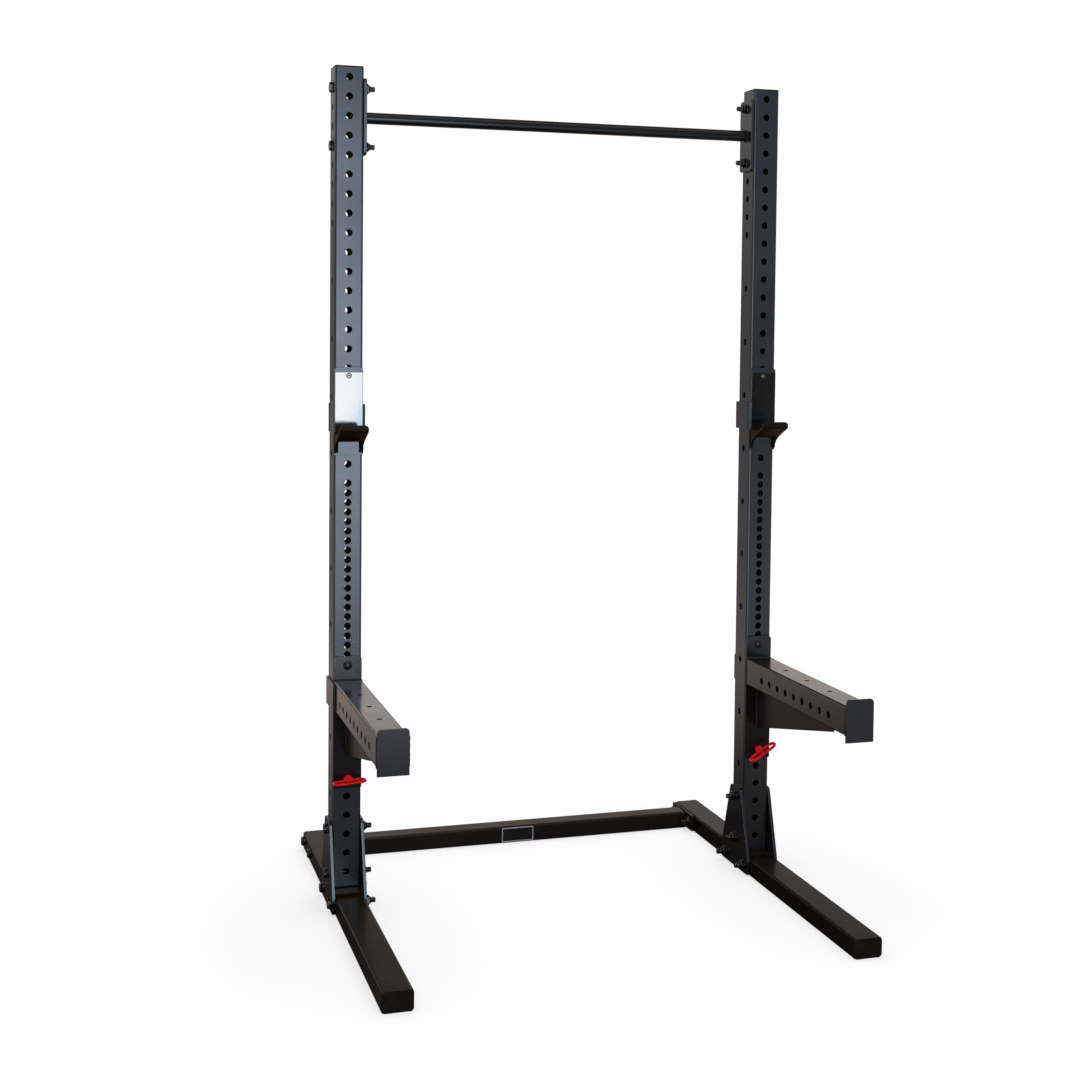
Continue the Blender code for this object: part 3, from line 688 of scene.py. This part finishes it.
def cut(thing, bm, operation="DIFFERENCE"):
    """An exact Boolean with a bmesh, applied at once."""
    tool = new_piece("tool", bm)
    modifier = thing.modifiers.new("cut", "BOOLEAN")
    modifier.object = tool
    modifier.operation = operation
    modifier.solver = "EXACT"
    plain_mesh(thing)
    bpy.data.objects.remove(tool)


def punch(thing, first, step=(0, 0, 0), count=1, turn=ACROSS, diameter=HOLE, length=2 * TUBE):
    """A row of holes. An edge line is scored along the row first, so that no face is left with a hole
    inside it, which the bevel would tear open."""
    first, step = Vector(first), Vector(step)
    axis = Euler(turn).to_matrix() @ Vector((0, 0, 1))
    aside = (axis.cross(step) if count > 1 else axis.orthogonal()).normalized()
    bm = bmesh.new()
    bm.from_mesh(thing.data)
    everything = bm.verts[:] + bm.edges[:] + bm.faces[:]
    bmesh.ops.bisect_plane(bm, geom=everything, dist=1e-6, plane_co=first, plane_no=aside)
    bm.to_mesh(thing.data)
    bm.free()
    run_tree(
        thing, HOLE_ROW, first_hole=tuple(first), step=tuple(step), count=count, diameter=diameter,
        punch_length=length, punch_turn=turn,
    )


def bolt_holes(thing, x, row, length=2 * TUBE):
    """The two holes of a bolt row."""
    first, last = [Vector((x, *place)) for place in row]
    punch(thing, first, last - first, 2, length=length)


def tube(name, start, length, turn, width=TUBE, depth=TUBE):
    thing = new_piece(name)
    run_tree(thing, BOX_TUBE, width=width, depth=depth, length=length, start=start, turn=turn)
    return thing


def weld(name, lines, radius, finish, body="frame"):
    """A bead along each open line of points."""
    bm = bmesh.new()
    for line in lines:
        verts = [bm.verts.new(point) for point in line]
        for pair in zip(verts, verts[1:]):
            bm.edges.new(pair)
    thing = new_piece(name, bm)
    run_tree(thing, WELD, bead_radius=radius)
    settle(thing, finish, body=body, smooth=180, flats=False)


def bolts(name, kind, side, x, places, grip, **tilts):
    """Bolts with their heads at these (Y, Z) places on a side, each with a flat that faces forward and
    as much down as its tilt says. The tilts go by the bolts' names."""
    bm = bmesh.new()
    spin = bm.verts.layers.float.new("spin")
    for place, tilt in zip(places, tilts.values()):
        bm.verts.new((x, *place))[spin] = -side * tilt
    thing = new_piece(f"{name}_{kind}_bolts", bm)
    run_tree(thing, BOLTS, grip=grip, turn=(0, -side * math.pi / 2, 0))
    nodes = [f"{name}_{label}_bolt" for label in tilts]
    settle(thing, BLACK_STEEL, nodes, eased=0.0004, segments=1, smooth=30)


# The frame's pieces
def upright(name, x):
    post = tube(name + "_post", (x, 0, SADDLE_TOP), UPRIGHT_TOP - SADDLE_TOP, UPWARD)
    down = Vector((0, 0, -PITCH))
    punch(post, (x, 0, FIRST_HOLE), down, 22, FORWARD)
    punch(post, (x, 0, FIRST_HOLE - 21.5 * PITCH), down / 2, 19, FORWARD)
    punch(post, (x, 0, FIRST_HOLE - 31.5 * PITCH), down, 11, FORWARD)
    punch(post, (x, 0, FIRST_HOLE - 0.5 * PITCH), down, 8)
    punch(post, (x, 0, FIRST_HOLE - 10.5 * PITCH), 3 * down, 10)
    bolt_holes(post, x, BASE_BOLTS)
    settle(post, COAT, [name + "_upright"], eased=0.0006)
    lid, inside = 0.003, HALF - WALL - GAP
    outline = rounded((x - HALF, -HALF), (x + HALF, HALF), TUBE_RADIUS)
    cap = new_piece(name + "_post_cap", slab(outline, lid - GAP, level(UPRIGHT_TOP + (lid + GAP) / 2)))
    ease(cap, 0.0011, 3)
    outline = rounded((x - inside, -inside), (x + inside, inside), TUBE_RADIUS - WALL)
    cut(cap, slab(outline, 0.015, level(UPRIGHT_TOP - 0.0065)), "UNION")
    settle(cap, PLASTIC, [name + "_upright_cap"])


def foot(name, x):
    low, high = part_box(name + "_foot_beam")
    start = (x, high.y - DATUM_Y, FOOT_HEIGHT / 2)
    runner = tube(name + "_foot_tube", start, high.y - low.y, FORWARD, TUBE, FOOT_HEIGHT)
    bolt_holes(runner, x, FOOT_BOLTS)
    bolt_holes(runner, x, CROSS_BOLTS)
    settle(runner, SHADED_FOOT_COAT, [name + "_foot_beam"], eased=0.0006)
    lid, inset = 0.0037, WALL + GAP
    for end, outward in (("front", -1), ("rear", 1)):
        node_name = f"{name}_foot_{end}_cap"
        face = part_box(node_name)[0 if outward < 0 else 1].y - DATUM_Y
        outline = rounded((x - HALF, 0), (x + HALF, FOOT_HEIGHT), TUBE_RADIUS, steps=8)
        plate = slab(outline, lid, facing(face - outward * lid / 2))
        rim = [edge for edge in plate.edges if all(abs(vert.co.y - face) < 1e-5 for vert in edge.verts)]
        bmesh.ops.bevel(plate, geom=rim, offset=0.0036, segments=5, profile=0.5, affect="EDGES")
        cap = new_piece(f"{name}_foot_{end}_plug", plate)
        corners = (x - HALF + inset, inset), (x + HALF - inset, FOOT_HEIGHT - inset)
        stem = slab(rounded(*corners, TUBE_RADIUS - WALL), 0.012, facing(face - outward * 0.008))
        cut(cap, stem, "UNION")
        settle(cap, PLASTIC, [node_name])


def gusset(name, x, node_name):
    """Beside the foot beam, flaring in to the upright."""
    foot_reach, top, crown = 0.09, 0.233, 0.014
    right = [(foot_reach - 0.003, 0.004), (foot_reach, 0.007), (foot_reach, 0.047)]
    right += arc((HALF - crown, top - crown), crown, 10, 90, 8)
    outline = right + [(-y, z) for y, z in reversed(right)]
    plate = new_piece(name, slab(outline, GUSSET, across(x)))
    bolt_holes(plate, x, BASE_BOLTS, 0.03)
    bolt_holes(plate, x, FOOT_BOLTS, 0.03)
    settle(plate, SHADED_GUSSET_COAT, [node_name], eased=0.0007)


def base_joint(name, side):
    x = side * CENTRE
    reach = HALF + GAP + GUSSET / 2
    for cheek, way in (("outer", side), ("inner", -side)):
        gusset(f"{name}_{cheek}_cheek", x + way * reach, f"{name}_{cheek}_gusset")
    corners = (x - HALF, -0.084, FOOT_HEIGHT + GAP), (x + HALF, 0.084, SADDLE_TOP - GAP)
    saddle = new_piece(name + "_saddle", box(*corners))
    settle(saddle, SHADED_FOOT_COAT, [name + "_saddle_plate"], eased=0.0009)
    inset, edge = HALF - 0.002, HALF + 0.0006
    lines = [[(x - inset, y, SADDLE_TOP), (x + inset, y, SADDLE_TOP)] for y in (-edge, edge)]
    weld(name + "_saddle_welds", lines, 0.003, SHADED_FOOT_COAT)
    thick = HALF + GAP + GUSSET
    bolts(
        name, "base", side, x + side * thick, BASE_BOLTS + FOOT_BOLTS, 2 * thick,
        upper_base=0.35, lower_base=0.33, front_foot=-0.3 if side < 0 else 0.35, rear_foot=0.38,
    )


def lug(name, side, node_name, outline, row, finish):
    """A beam's end plate, against the tube beside it. Gives the X of its inner face."""
    near = side * CENTRE - side * (HALF + GAP)
    plate = new_piece(name, slab(outline, GUSSET, across(near - side * GUSSET / 2)))
    bolt_holes(plate, near, row, 0.04)
    settle(plate, finish, [node_name], eased=0.0007)
    return near - side * GUSSET


def lug_bolts(name, kind, side, row, **tilts):
    bolts(name, kind, side, side * CENTRE + side * HALF, row, TUBE + GAP + GUSSET, **tilts)


def cross_beam():
    low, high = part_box("rear_cross_beam")
    middle = (low.y + high.y) / 2 - DATUM_Y
    start = (low.x, middle, FOOT_HEIGHT / 2)
    rail = tube("cross_rail", start, high.x - low.x, ACROSS, FOOT_HEIGHT, high.y - low.y)
    settle(rail, CROSS_COAT, ["rear_cross_beam"], eased=0.0006)
    for name, side in SIDES.items():
        outline = rounded((0.318, 0.003), (0.478, FOOT_HEIGHT), TUBE_RADIUS)
        node_name = name + "_cross_beam_flange"
        face = lug(name + "_cross_lug", side, node_name, outline, CROSS_BOLTS, CROSS_COAT)
        x, half_width = face - side * 0.0005, 0.03
        corners = (middle - half_width, 0), (middle + half_width, FOOT_HEIGHT)
        top = [(x, y, z) for y, z in rounded(*corners, TUBE_RADIUS, top_only=True, steps=5)[:-2]]
        sides = [[(x, y[0], z) for z in (0.004, FOOT_HEIGHT / 2)] for y in corners]
        weld(name + "_cross_weld", [top] + sides, 0.0026, CROSS_COAT)
        lug_bolts(name, "cross", side, CROSS_BOLTS, cross_front=0.35, cross_rear=0.38)


def pull_up_bar():
    low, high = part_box("pull_up_bar")
    length, radius, bore = high.x - low.x, 0.015, 0.012
    profile = [(bore, 0), (radius, 0), (radius, length), (bore, length)]
    bm = turned(profile, at((low.x, 0, BAR_HEIGHT), ACROSS), 48, closed=True)
    settle(new_piece("grip_bar", bm), BAR_COAT, ["pull_up_bar"], flats=False)
    for name, side in SIDES.items():
        outline = rounded((-HALF, BAR_HEIGHT - 0.0985), (HALF, BAR_HEIGHT + 0.0985), PLATE_RADIUS)
        face = lug(name + "_bar_lug", side, name + "_bar_flange", outline, BAR_BOLTS, COAT)
        ring = [(face - side * 0.0008, y, z) for y, z in arc((0, BAR_HEIGHT), radius + 0.0005, 0, 360, 40)]
        weld(name + "_bar_weld", [ring], 0.0021, BAR_COAT)
        upper = 0.12 if side < 0 else -0.27
        lug_bolts(name, "bar", side, BAR_BOLTS, bar_upper=upper, bar_lower=-0.26)


def badge():
    """A bare plate on the cross beam's front: a bright rim round a black face."""
    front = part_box("rear_cross_beam")[0].y - DATUM_Y
    outer = rounded((-0.048, 0.004), (0.049, 0.046), 0.003)
    inner = rounded((-0.0452, 0.0068), (0.0462, 0.0432), 0.0015)
    rim = new_piece("badge_rim", slab(outer, 0.0014, facing(front - 0.0008)))
    cut(rim, slab(inner, 0.01, facing(front)))
    settle(rim, BADGE_RIM, eased=0.0002)
    outline = rounded((-0.047, 0.005), (0.048, 0.045), 0.002)
    face = new_piece("badge_face", slab(outline, 0.0008, facing(front - 0.0005)))
    settle(face, BADGE_BLACK, eased=0.0001, segments=1)


# The J-cups
def wrap(x, toward, ear, front_reach, stop, low, high):
    """The bent plate that runs back beside the upright and turns in behind it, with round bends."""
    inside = HALF + 0.0005
    outside = inside + ear
    bend = ear + 0.002
    seam = HALF - 0.01
    outline = [(seam, PLATE_FACE), (inside, PLATE_FACE), (inside, -front_reach), (outside, -front_reach)]
    if not front_reach:
        outline = [(seam, PLATE_FACE)] + arc((outside - bend, PLATE_FACE + bend), bend, -90, 0, 6)
    outline += arc((outside - bend, outside - bend), bend, 0, 90, 6)
    outline += [(-stop, outside), (-stop, inside), (inside - 0.002, inside), (inside, inside - 0.002)]
    outline += [(inside, PLATE_BACK), (seam, PLATE_BACK)]
    placed = [(x + toward * a, y) for a, y in outline]
    return slab(placed, high - low, level((low + high) / 2))


def mount_plate(name, x, low, high, bent):
    """The plate on an upright's front, in one with its bent plate."""
    outline = rounded((x - HALF, low), (x + HALF, high), PLATE_RADIUS, top_only=True)
    plate = new_piece(name, slab(outline, PLATE, facing((PLATE_BACK + PLATE_FACE) / 2)))
    cut(plate, bent, "UNION")
    return plate


def softened(corners, steps=5):
    """An outline from (corner, radius) pairs, with its corners rounded."""
    points = []
    for i, (corner, radius) in enumerate(corners):
        corner = Vector(corner)
        if not radius:
            points.append(tuple(corner))
            continue
        back = (Vector(corners[i - 1][0]) - corner).normalized()
        ahead = (Vector(corners[(i + 1) % len(corners)][0]) - corner).normalized()
        half = back.angle(ahead) / 2
        centre = corner + (back + ahead).normalized() * radius / math.sin(half)
        first, last = [corner + way * radius / math.tan(half) - centre for way in (back, ahead)]
        spokes = [first.lerp(last, step / steps).normalized() for step in range(steps + 1)]
        points += [tuple(centre + spoke * radius) for spoke in spokes]
    return points


def cradle_outlines():
    """From the side: the cradle, and the hollow between its cheeks. The lip stands on a web that slopes
    back and down, under the floor, to the cheeks' knee."""
    front = ON_PLATE - 0.0875
    chin = Vector((front, LIP_TOP - 0.0165))
    knee = Vector((ON_PLATE - 0.0315, LIP_TOP - 0.043))
    shin = Vector((ON_PLATE - 0.0135, LIP_TOP - 0.055))
    heel = LIP_TOP - 0.076
    run = knee - chin
    slope = run.y / run.x
    thickness = Vector((-run.y, run.x)).normalized() * CRADLE
    inner = chin + thickness
    behind_lip = front + CRADLE
    web_end = knee.lerp(shin, 0.25)

    def meets(height):
        """Where the web's inner side is at this height."""
        return inner.x + (height - inner.y) / slope

    body = softened([
        ((ON_PLATE, CUP_FLOOR), 0),
        ((meets(CUP_FLOOR), CUP_FLOOR), 0.01),
        ((behind_lip, inner.y + (behind_lip - inner.x) * slope), 0.004),
        ((behind_lip, LIP_TOP), 0),
        ((front, LIP_TOP), 0),
        (chin, 0.01),
        (knee, 0.02),
        (shin, 0.008),
        ((ON_PLATE - 0.003, LIP_TOP - 0.0695), 0.004),
        ((ON_PLATE - 0.0025, heel), 0),
        ((ON_PLATE, heel), 0),
    ])
    hollow = [
        (0, CUP_UNDER),
        (meets(CUP_UNDER), CUP_UNDER),
        web_end + thickness,
        web_end - thickness,
        (web_end.x - thickness.x, CUP_UNDER - TUBE),
        (0, CUP_UNDER - TUBE),
    ]
    return body, hollow


def j_cup(name, side):
    x = side * CENTRE
    body = name + "_j_cup"
    bent = wrap(x, -side, 0.007, 0, 0.0382, CUP_PEG - 0.119, CUP_PEG - 0.044)
    back = mount_plate(name + "_cup_back", x, CUP_PEG - 0.176, CUP_PEG + 0.053, bent)
    settle(back, COAT, [name + "_j_cup_plate"], body, eased=0.0007)

    outline, hollow = cradle_outlines()
    hook = new_piece(name + "_cup_hook", slab(outline, TUBE, across(x)))
    cut(hook, slab(hollow, TUBE - 2 * CRADLE, across(x)))
    lip = rounded((x - HALF, CUP_FLOOR - 0.08), (x + HALF, LIP_TOP), PLATE_RADIUS, top_only=True, steps=8)
    cut(hook, slab(lip, 0.14, facing(ON_PLATE - 0.05)), "INTERSECT")
    settle(hook, CUP_COAT, [name + "_j_cup_cradle"], body, eased=0.001)

    low, high = CUP_FLOOR + GAP, CUP_PEG + 0.039
    liner = new_piece(name + "_cup_liner", box((x - 0.036, ON_PLATE - LINER, low), (x + 0.036, ON_PLATE, high)))
    settle(liner, BRIGHT_STEEL, [name + "_j_cup_wear_plate"], body, eased=0.0004)
    on_liner = at((x, ON_PLATE - LINER, high - 0.0085), FORWARD)
    head = [(0.0, -0.0012), (0.0025, -0.0012), (0.0025, 0.0002), (0.0034, 0.00035), (0.0052, 0.00035)]
    head += [(0.0056, 0.0001), (0.0056, -0.001), (0.0, -0.002)]
    screw = new_piece(name + "_liner_screw", turned(head, on_liner))
    settle(screw, BRIGHT_STEEL, body=body, flats=False)
    # Painted shade: a dark ring round the screw's head and a dark disc filling its socket, where shade falls.
    shade_ring = [(0.0058, -0.0005), (0.0074, -0.0005), (0.0074, 0.00012), (0.0058, 0.00012)]
    recess = [(0.0, 0.0001), (0.0023, 0.0001), (0.0023, -0.0012), (0.0, -0.0012)]
    dark = turned(recess, on_liner, bm=turned(shade_ring, on_liner, closed=True))
    settle(new_piece(name + "_screw_seat", dark), CUP_COAT, body=body)

    stem = [(0.0, 0.0), (0.007, 0.0), (0.007, 0.031), (0.0062, 0.0332), (0.0045, 0.034), (0.0, 0.034)]
    peg = new_piece(name + "_cup_peg", turned(stem, at((x, PLATE_BACK + GAP, CUP_PEG), BACKWARD)))
    settle(peg, BLACK_STEEL, [name + "_j_cup_peg"], body, flats=False)

    lines = []
    y = ON_PLATE - 0.0003
    for sign in (-1, 1):
        outer, inner = x + sign * (HALF - 0.0005), x + sign * (HALF - 0.0085)
        lines.append([(outer, y, CUP_UNDER - 0.042), (outer, y, CUP_FLOOR - 0.001)])
        lines.append([(inner, y, CUP_UNDER - 0.04), (inner, y, CUP_UNDER - 0.002)])
    ends = x - HALF + 0.01, x + HALF - 0.01
    lines.append([(end, ON_PLATE - 0.0005, CUP_UNDER) for end in ends])
    weld(name + "_cup_welds", lines, 0.0024, CUP_COAT, body)


# The spotter arms
def spotter_arm(name, side):
    x = side * CENTRE
    bent = wrap(x, side, 0.005, 0.073, 0.036, ARM_BOTTOM, ARM_TOP - 0.004)
    back = mount_plate(name + "_arm_back", x, ARM_PIN - 0.026, ARM_PEG + 0.022, bent)
    punch(back, (x, PLATE_FACE, ARM_PIN), turn=FORWARD, length=0.024)
    settle(back, MOUNT_COAT, [name + "_arm_mount_plate"], eased=0.0006)

    profile = [(u, v / 2) for u, v in arc((0, 0), 0.012, 90, 0, 8)]
    profile += [(0.007, 0.0), (0.007, -0.038), (0.0055, -0.04), (0.0, -0.04)]
    peg = new_piece(name + "_arm_dome_peg", turned(profile, at((x, ON_PLATE, ARM_PEG - 0.002), FORWARD)))
    settle(peg, PEG_BLACK, [name + "_arm_peg"], flats=False)

    low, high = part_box(name + "_arm_beam")
    front, rear = low.y - DATUM_Y, high.y - DATUM_Y
    middle = (ARM_TOP + ARM_BOTTOM) / 2
    arm = tube(name + "_arm_tube", (x, rear, middle), high.y - low.y, FORWARD)
    punch(arm, (x, -0.146, ARM_TOP - 0.043), (0, -PITCH, 0), 9)
    punch(arm, (x, -0.22, ARM_TOP), (0, -0.129, 0), 3, UPWARD, 0.013, 0.012)
    settle(arm, ARM_COAT, [name + "_arm_beam"], eased=0.0006)

    past = 0.0165
    corners = (x - HALF, ARM_BOTTOM - past), (x + HALF, ARM_TOP + past)
    outline = rounded(*corners, PLATE_RADIUS, top_only=True)
    nose = new_piece(name + "_arm_nose_plate", slab(outline, PLATE, facing(front - GAP - PLATE / 2)))
    settle(nose, ARM_COAT, [name + "_arm_end_plate"], eased=0.0009)

    top, tip = ARM_BOTTOM - GAP, -0.502
    outline = [(ON_PLATE, top), (ON_PLATE, ARM_BOTTOM - 0.124), (tip, ARM_BOTTOM - 0.024), (tip, top)]
    web = new_piece(name + "_arm_web", slab(outline, 0.008, across(x)))
    settle(web, CROSS_COAT, [name + "_arm_brace"], eased=0.0009)

    lines = []
    for y in (ON_PLATE - 0.0004, front + 0.0004):
        corners = rounded((x - HALF, middle - HALF), (x + HALF, middle + HALF), TUBE_RADIUS, steps=5)
        lines.append([(a, y, b) for a, b in corners + corners[:1]])
    for beside in (x - 0.0045, x + 0.0045):
        y = ON_PLATE - 0.001
        lines.append([(beside, y, ARM_BOTTOM - 0.12), (beside, y, ARM_BOTTOM - 0.003)])
        lines.append([(beside, y - 0.005, ARM_BOTTOM), (beside, tip + 0.004, ARM_BOTTOM)])
    ear, y = x + side * (HALF + 0.001), -0.0738
    lines.append([(ear, y, ARM_BOTTOM + 0.002), (ear, y, ARM_TOP - 0.006)])
    lines.append([(ear, y, ARM_TOP - 0.0045) for y in (-0.072, -0.05)])
    weld(name + "_arm_welds", lines, 0.0026, ARM_COAT)


# The lock pins
def lock_pin(name, side, roll):
    x = side * CENTRE
    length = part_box(name + "_lock_pin_shaft")[1].y - DATUM_Y - ON_PLATE
    profile = [(0.0, 0.0), (0.007, 0.0), (0.007, length - 0.004), (0.0058, length - 0.0008)]
    profile += [(0.004, length), (0.0, length)]
    stem = new_piece(name + "_pin_stem", turned(profile, at((x, ON_PLATE, ARM_PIN), BACKWARD)))
    settle(stem, BLACK_STEEL, [name + "_lock_pin_shaft"], name + "_lock_pin", flats=False)

    radius, rod, sides = 0.0125, 0.008, 24
    middle = ON_PLATE - radius - GAP
    knob = at((x, middle, ARM_PIN), FORWARD)
    ball = arc((0, 0), radius, 90, -90, 20)
    collar = [(0.0, -0.0124), (0.0085, -0.0124), (0.0092, -0.0115), (0.0092, -0.0085)]
    collar += [(0.008, -0.007), (0.0, -0.007)]
    centre = middle - radius + 2 * GAP - 0.017 + rod / 2
    half_length, half_depth = (0.09 - rod) / 2, (0.034 - rod) / 2
    path = arc((half_length - half_depth, 0), half_depth, -90, 90, 14)
    path += arc((half_depth - half_length, 0), half_depth, 90, 270, 14)
    loop = bmesh.new()
    rings = []
    for i, (a, b) in enumerate(path):
        before, after = Vector(path[i - 1]), Vector(path[(i + 1) % len(path)])
        along = (after - before).normalized()
        circle = arc((0, 0), rod / 2, 0, 360 - 360 / sides, sides - 1)
        rings.append([loop.verts.new((a + along.y * u, b - along.x * u, v)) for u, v in circle])
    skin(loop, rings, closed=True)
    tilt = Matrix.Translation((x, centre, ARM_PIN)) @ Matrix.Rotation(-math.radians(roll), 4, "Y")
    bmesh.ops.transform(loop, matrix=tilt, verts=loop.verts)
    handle = new_piece(name + "_pin_knob_and_loop", turned(ball, knob))
    cut(handle, loop, "UNION")
    cut(handle, turned(collar, knob), "UNION")
    smoother = handle.modifiers.new("dip_fillet", "REMESH")
    smoother.mode = "VOXEL"
    smoother.voxel_size = 0.0007
    soften = handle.modifiers.new("dip_soften", "SMOOTH")
    soften.factor = 0.5
    soften.iterations = 6
    plain_mesh(handle)
    settle(handle, RED, [name + "_lock_pin_handle"], name + "_pin_handle", smooth=180, flats=False)


# Camera, lights, floor and room
def set_camera():
    camera = bpy.data.objects.new("camera", bpy.data.cameras.new("camera"))
    right = Vector((0.95779028, -0.28730093, 0.00979584))
    up = Vector((0.00416467, 0.04794057, 0.99884151))
    forward = Vector((0.28743772, 0.95663989, -0.04711353))
    turn = Matrix((right, up, -forward)).transposed()
    camera.matrix_world = Matrix.Translation((-1.30619, DATUM_Y - 4.15124, 1.5299)) @ turn.to_4x4()
    camera.data.lens = 53.313
    camera.data.shift_x = 0.00163
    camera.data.shift_y = -0.12553
    camera.data.clip_end = 200
    bpy.context.scene.collection.objects.link(camera)
    bpy.context.scene.camera = camera


def lamp(name, place, target, size, power, colour):
    light = bpy.data.lights.new(name, "AREA")
    light.shape = "RECTANGLE"
    light.size, light.size_y = size
    light.energy = power
    light.color = colour
    thing = bpy.data.objects.new(name, light)
    direction = Vector(target) - Vector(place)
    thing.location = place
    thing.rotation_euler = direction.to_track_quat("-Z", "Y").to_euler()
    bpy.context.scene.collection.objects.link(thing)
    return thing


def sheet(name, corners, finish):
    """A flat piece of the studio."""
    bm = bmesh.new()
    bm.faces.new([bm.verts.new(corner) for corner in corners])
    thing = new_piece(name, bm)
    thing.data.materials.append(finish)
    return thing


def mixed(factor, first, second):
    """One shader for factor 0 and the other for factor 1."""
    return add("ShaderNodeMixShader", {0: factor, 1: first, 2: second})


def floor_paint():
    """White to the camera, matt to the lamps, and to other rays a painted glow: a pool of window light that
    fades with distance from the window, and painted shade close to the rack.
    """
    paint = blank(bpy.data.materials, "pale_floor_paint")
    place = node("ShaderNodeTexCoord").outputs["Object"]
    distance = node("ShaderNodeVectorMath", {0: place}, operation="LENGTH").outputs["Value"]
    rays = node("ShaderNodeLightPath").outputs
    seen = maths("MULTIPLY", rays["Is Camera Ray"], spread(distance, 0.9, 2.3, 0.62, 1.0))
    feeds = {0: place, 1: (0.0, -5.2, 0.0)}
    from_window = node("ShaderNodeVectorMath", feeds, operation="DISTANCE").outputs["Value"]
    # Painted light: a pool of window light on the floor, seen in glosses and in bounce light.
    painted_floor_light = ramp(
        spread(from_window, 0.0, 10.0, 0.0, 1.0),
        (0.0, 0.9, 0.94, 1.0), (0.12, 0.8, 0.83, 0.88),
        (0.21, 0.46, 0.47, 0.5), (0.3, 0.24, 0.25, 0.27),
        (0.42, 0.3, 0.258, 0.224), (0.78, 0.52, 0.42, 0.37),
        (0.9, 0.35, 0.297, 0.256), (1.0, 0.276, 0.236, 0.208),
    )
    # Painted shade: the floor glows far less close to the rack.
    near = spread(distance, 0.6, 3.0, 0.07, 1.0)
    matt = add("ShaderNodeBsdfDiffuse", {"Color": (0.97, 0.97, 0.97, 1)})
    mirrored = add("ShaderNodeEmission", {"Color": painted_floor_light, "Strength": near})
    white = add("ShaderNodeEmission", {"Color": (1, 1, 1, 1), "Strength": 1.06})
    lit = mixed(seen, matt, white)
    node("ShaderNodeOutputMaterial", {"Surface": mixed(rays["Is Camera Ray"], mirrored, lit)})
    return paint


def white_room():
    """White to the camera, a soft light on the pieces, and a room with a bright band in a gloss."""
    world = blank(bpy.data.worlds, "white_room")
    bpy.context.scene.world = world
    direction = node("ShaderNodeTexCoord").outputs["Generated"]
    height = axis_of(direction, "Z")
    behind = ramp(
        height,
        (0.0, 0.196, 0.166, 0.14), (0.08, 0.261, 0.224, 0.189),
        (0.15, 0.46, 0.4, 0.36), (0.2, 0.98, 0.88, 0.82),
        (0.25, 0.98, 0.89, 0.83), (0.28, 1.22, 1.12, 1.04),
        (0.31, 0.075, 0.055, 0.045), (1.0, 0.06, 0.05, 0.045),
    )
    ahead = ramp(
        height,
        (0.0, 0.17, 0.19, 0.23), (0.6, 0.12, 0.12, 0.13),
        (0.85, 0.6, 0.47, 0.37), (1.0, 0.6, 0.47, 0.37),
    )
    away = spread(axis_of(direction, "Y"), -0.3, 0.1, 0.0, 1.0)
    room = node("ShaderNodeMix", {0: away, 6: ahead, 7: behind}, data_type="RGBA").outputs[2]
    rays = node("ShaderNodeLightPath").outputs
    soft = add("ShaderNodeBackground", {"Color": (0.95, 0.97, 1, 1), "Strength": 0.55})
    mirrored = add("ShaderNodeBackground", {"Color": room})
    plain = add("ShaderNodeBackground", {"Color": (1, 1, 1, 1)})
    shiny = mixed(rays["Is Glossy Ray"], soft, mirrored)
    clear = maths("MAXIMUM", rays["Is Camera Ray"], rays["Is Transmission Ray"])
    node("ShaderNodeOutputWorld", {"Surface": mixed(clear, shiny, plain)})


def studio():
    set_camera()
    lamp("window", (0.0, -5.6, 1.43), (0.0, 0.0, 1.43), (1.9, 2.8), 34.5, (0.9, 0.94, 1.0))
    overhead = lamp("overhead", (0.0, 0.0, 5.0), (0, 0, 0), (5.0, 5.0), 130, (1.0, 0.985, 0.97))
    overhead.visible_glossy = False

    # Painted shade in reflections: a black card seen only in glosses, which the camera doesn't see and which
    # neither lights nor shades anything.
    corners = (2.3, -5.2, 0.4), (3.45, -5.2, 0.4), (3.45, -5.2, 1.7), (2.3, -5.2, 1.7)
    shade_card = {"Base Color": (0.01, 0.01, 0.01, 1), "Roughness": 0.9}
    flag = sheet("dark_flag", corners, surface("flag_cloth", lambda place: shade_card))
    flag.visible_camera = False
    flag.visible_diffuse = False
    flag.visible_shadow = False

    drop = -0.0004
    corners = (-30, -30, drop), (30, -30, drop), (30, 30, drop), (-30, 30, drop)
    sheet("pale_floor", corners, floor_paint())
    white_room()
    bpy.context.scene.view_settings.view_transform = "Standard"


studio()
for side_name, side_sign in SIDES.items():
    upright(side_name, side_sign * CENTRE)
    foot(side_name, side_sign * CENTRE)
    base_joint(side_name, side_sign)
    j_cup(side_name, side_sign)
    spotter_arm(side_name, side_sign)
lock_pin("left", -1, 4.3)
lock_pin("right", 1, 32.7)
cross_beam()
pull_up_bar()
badge()
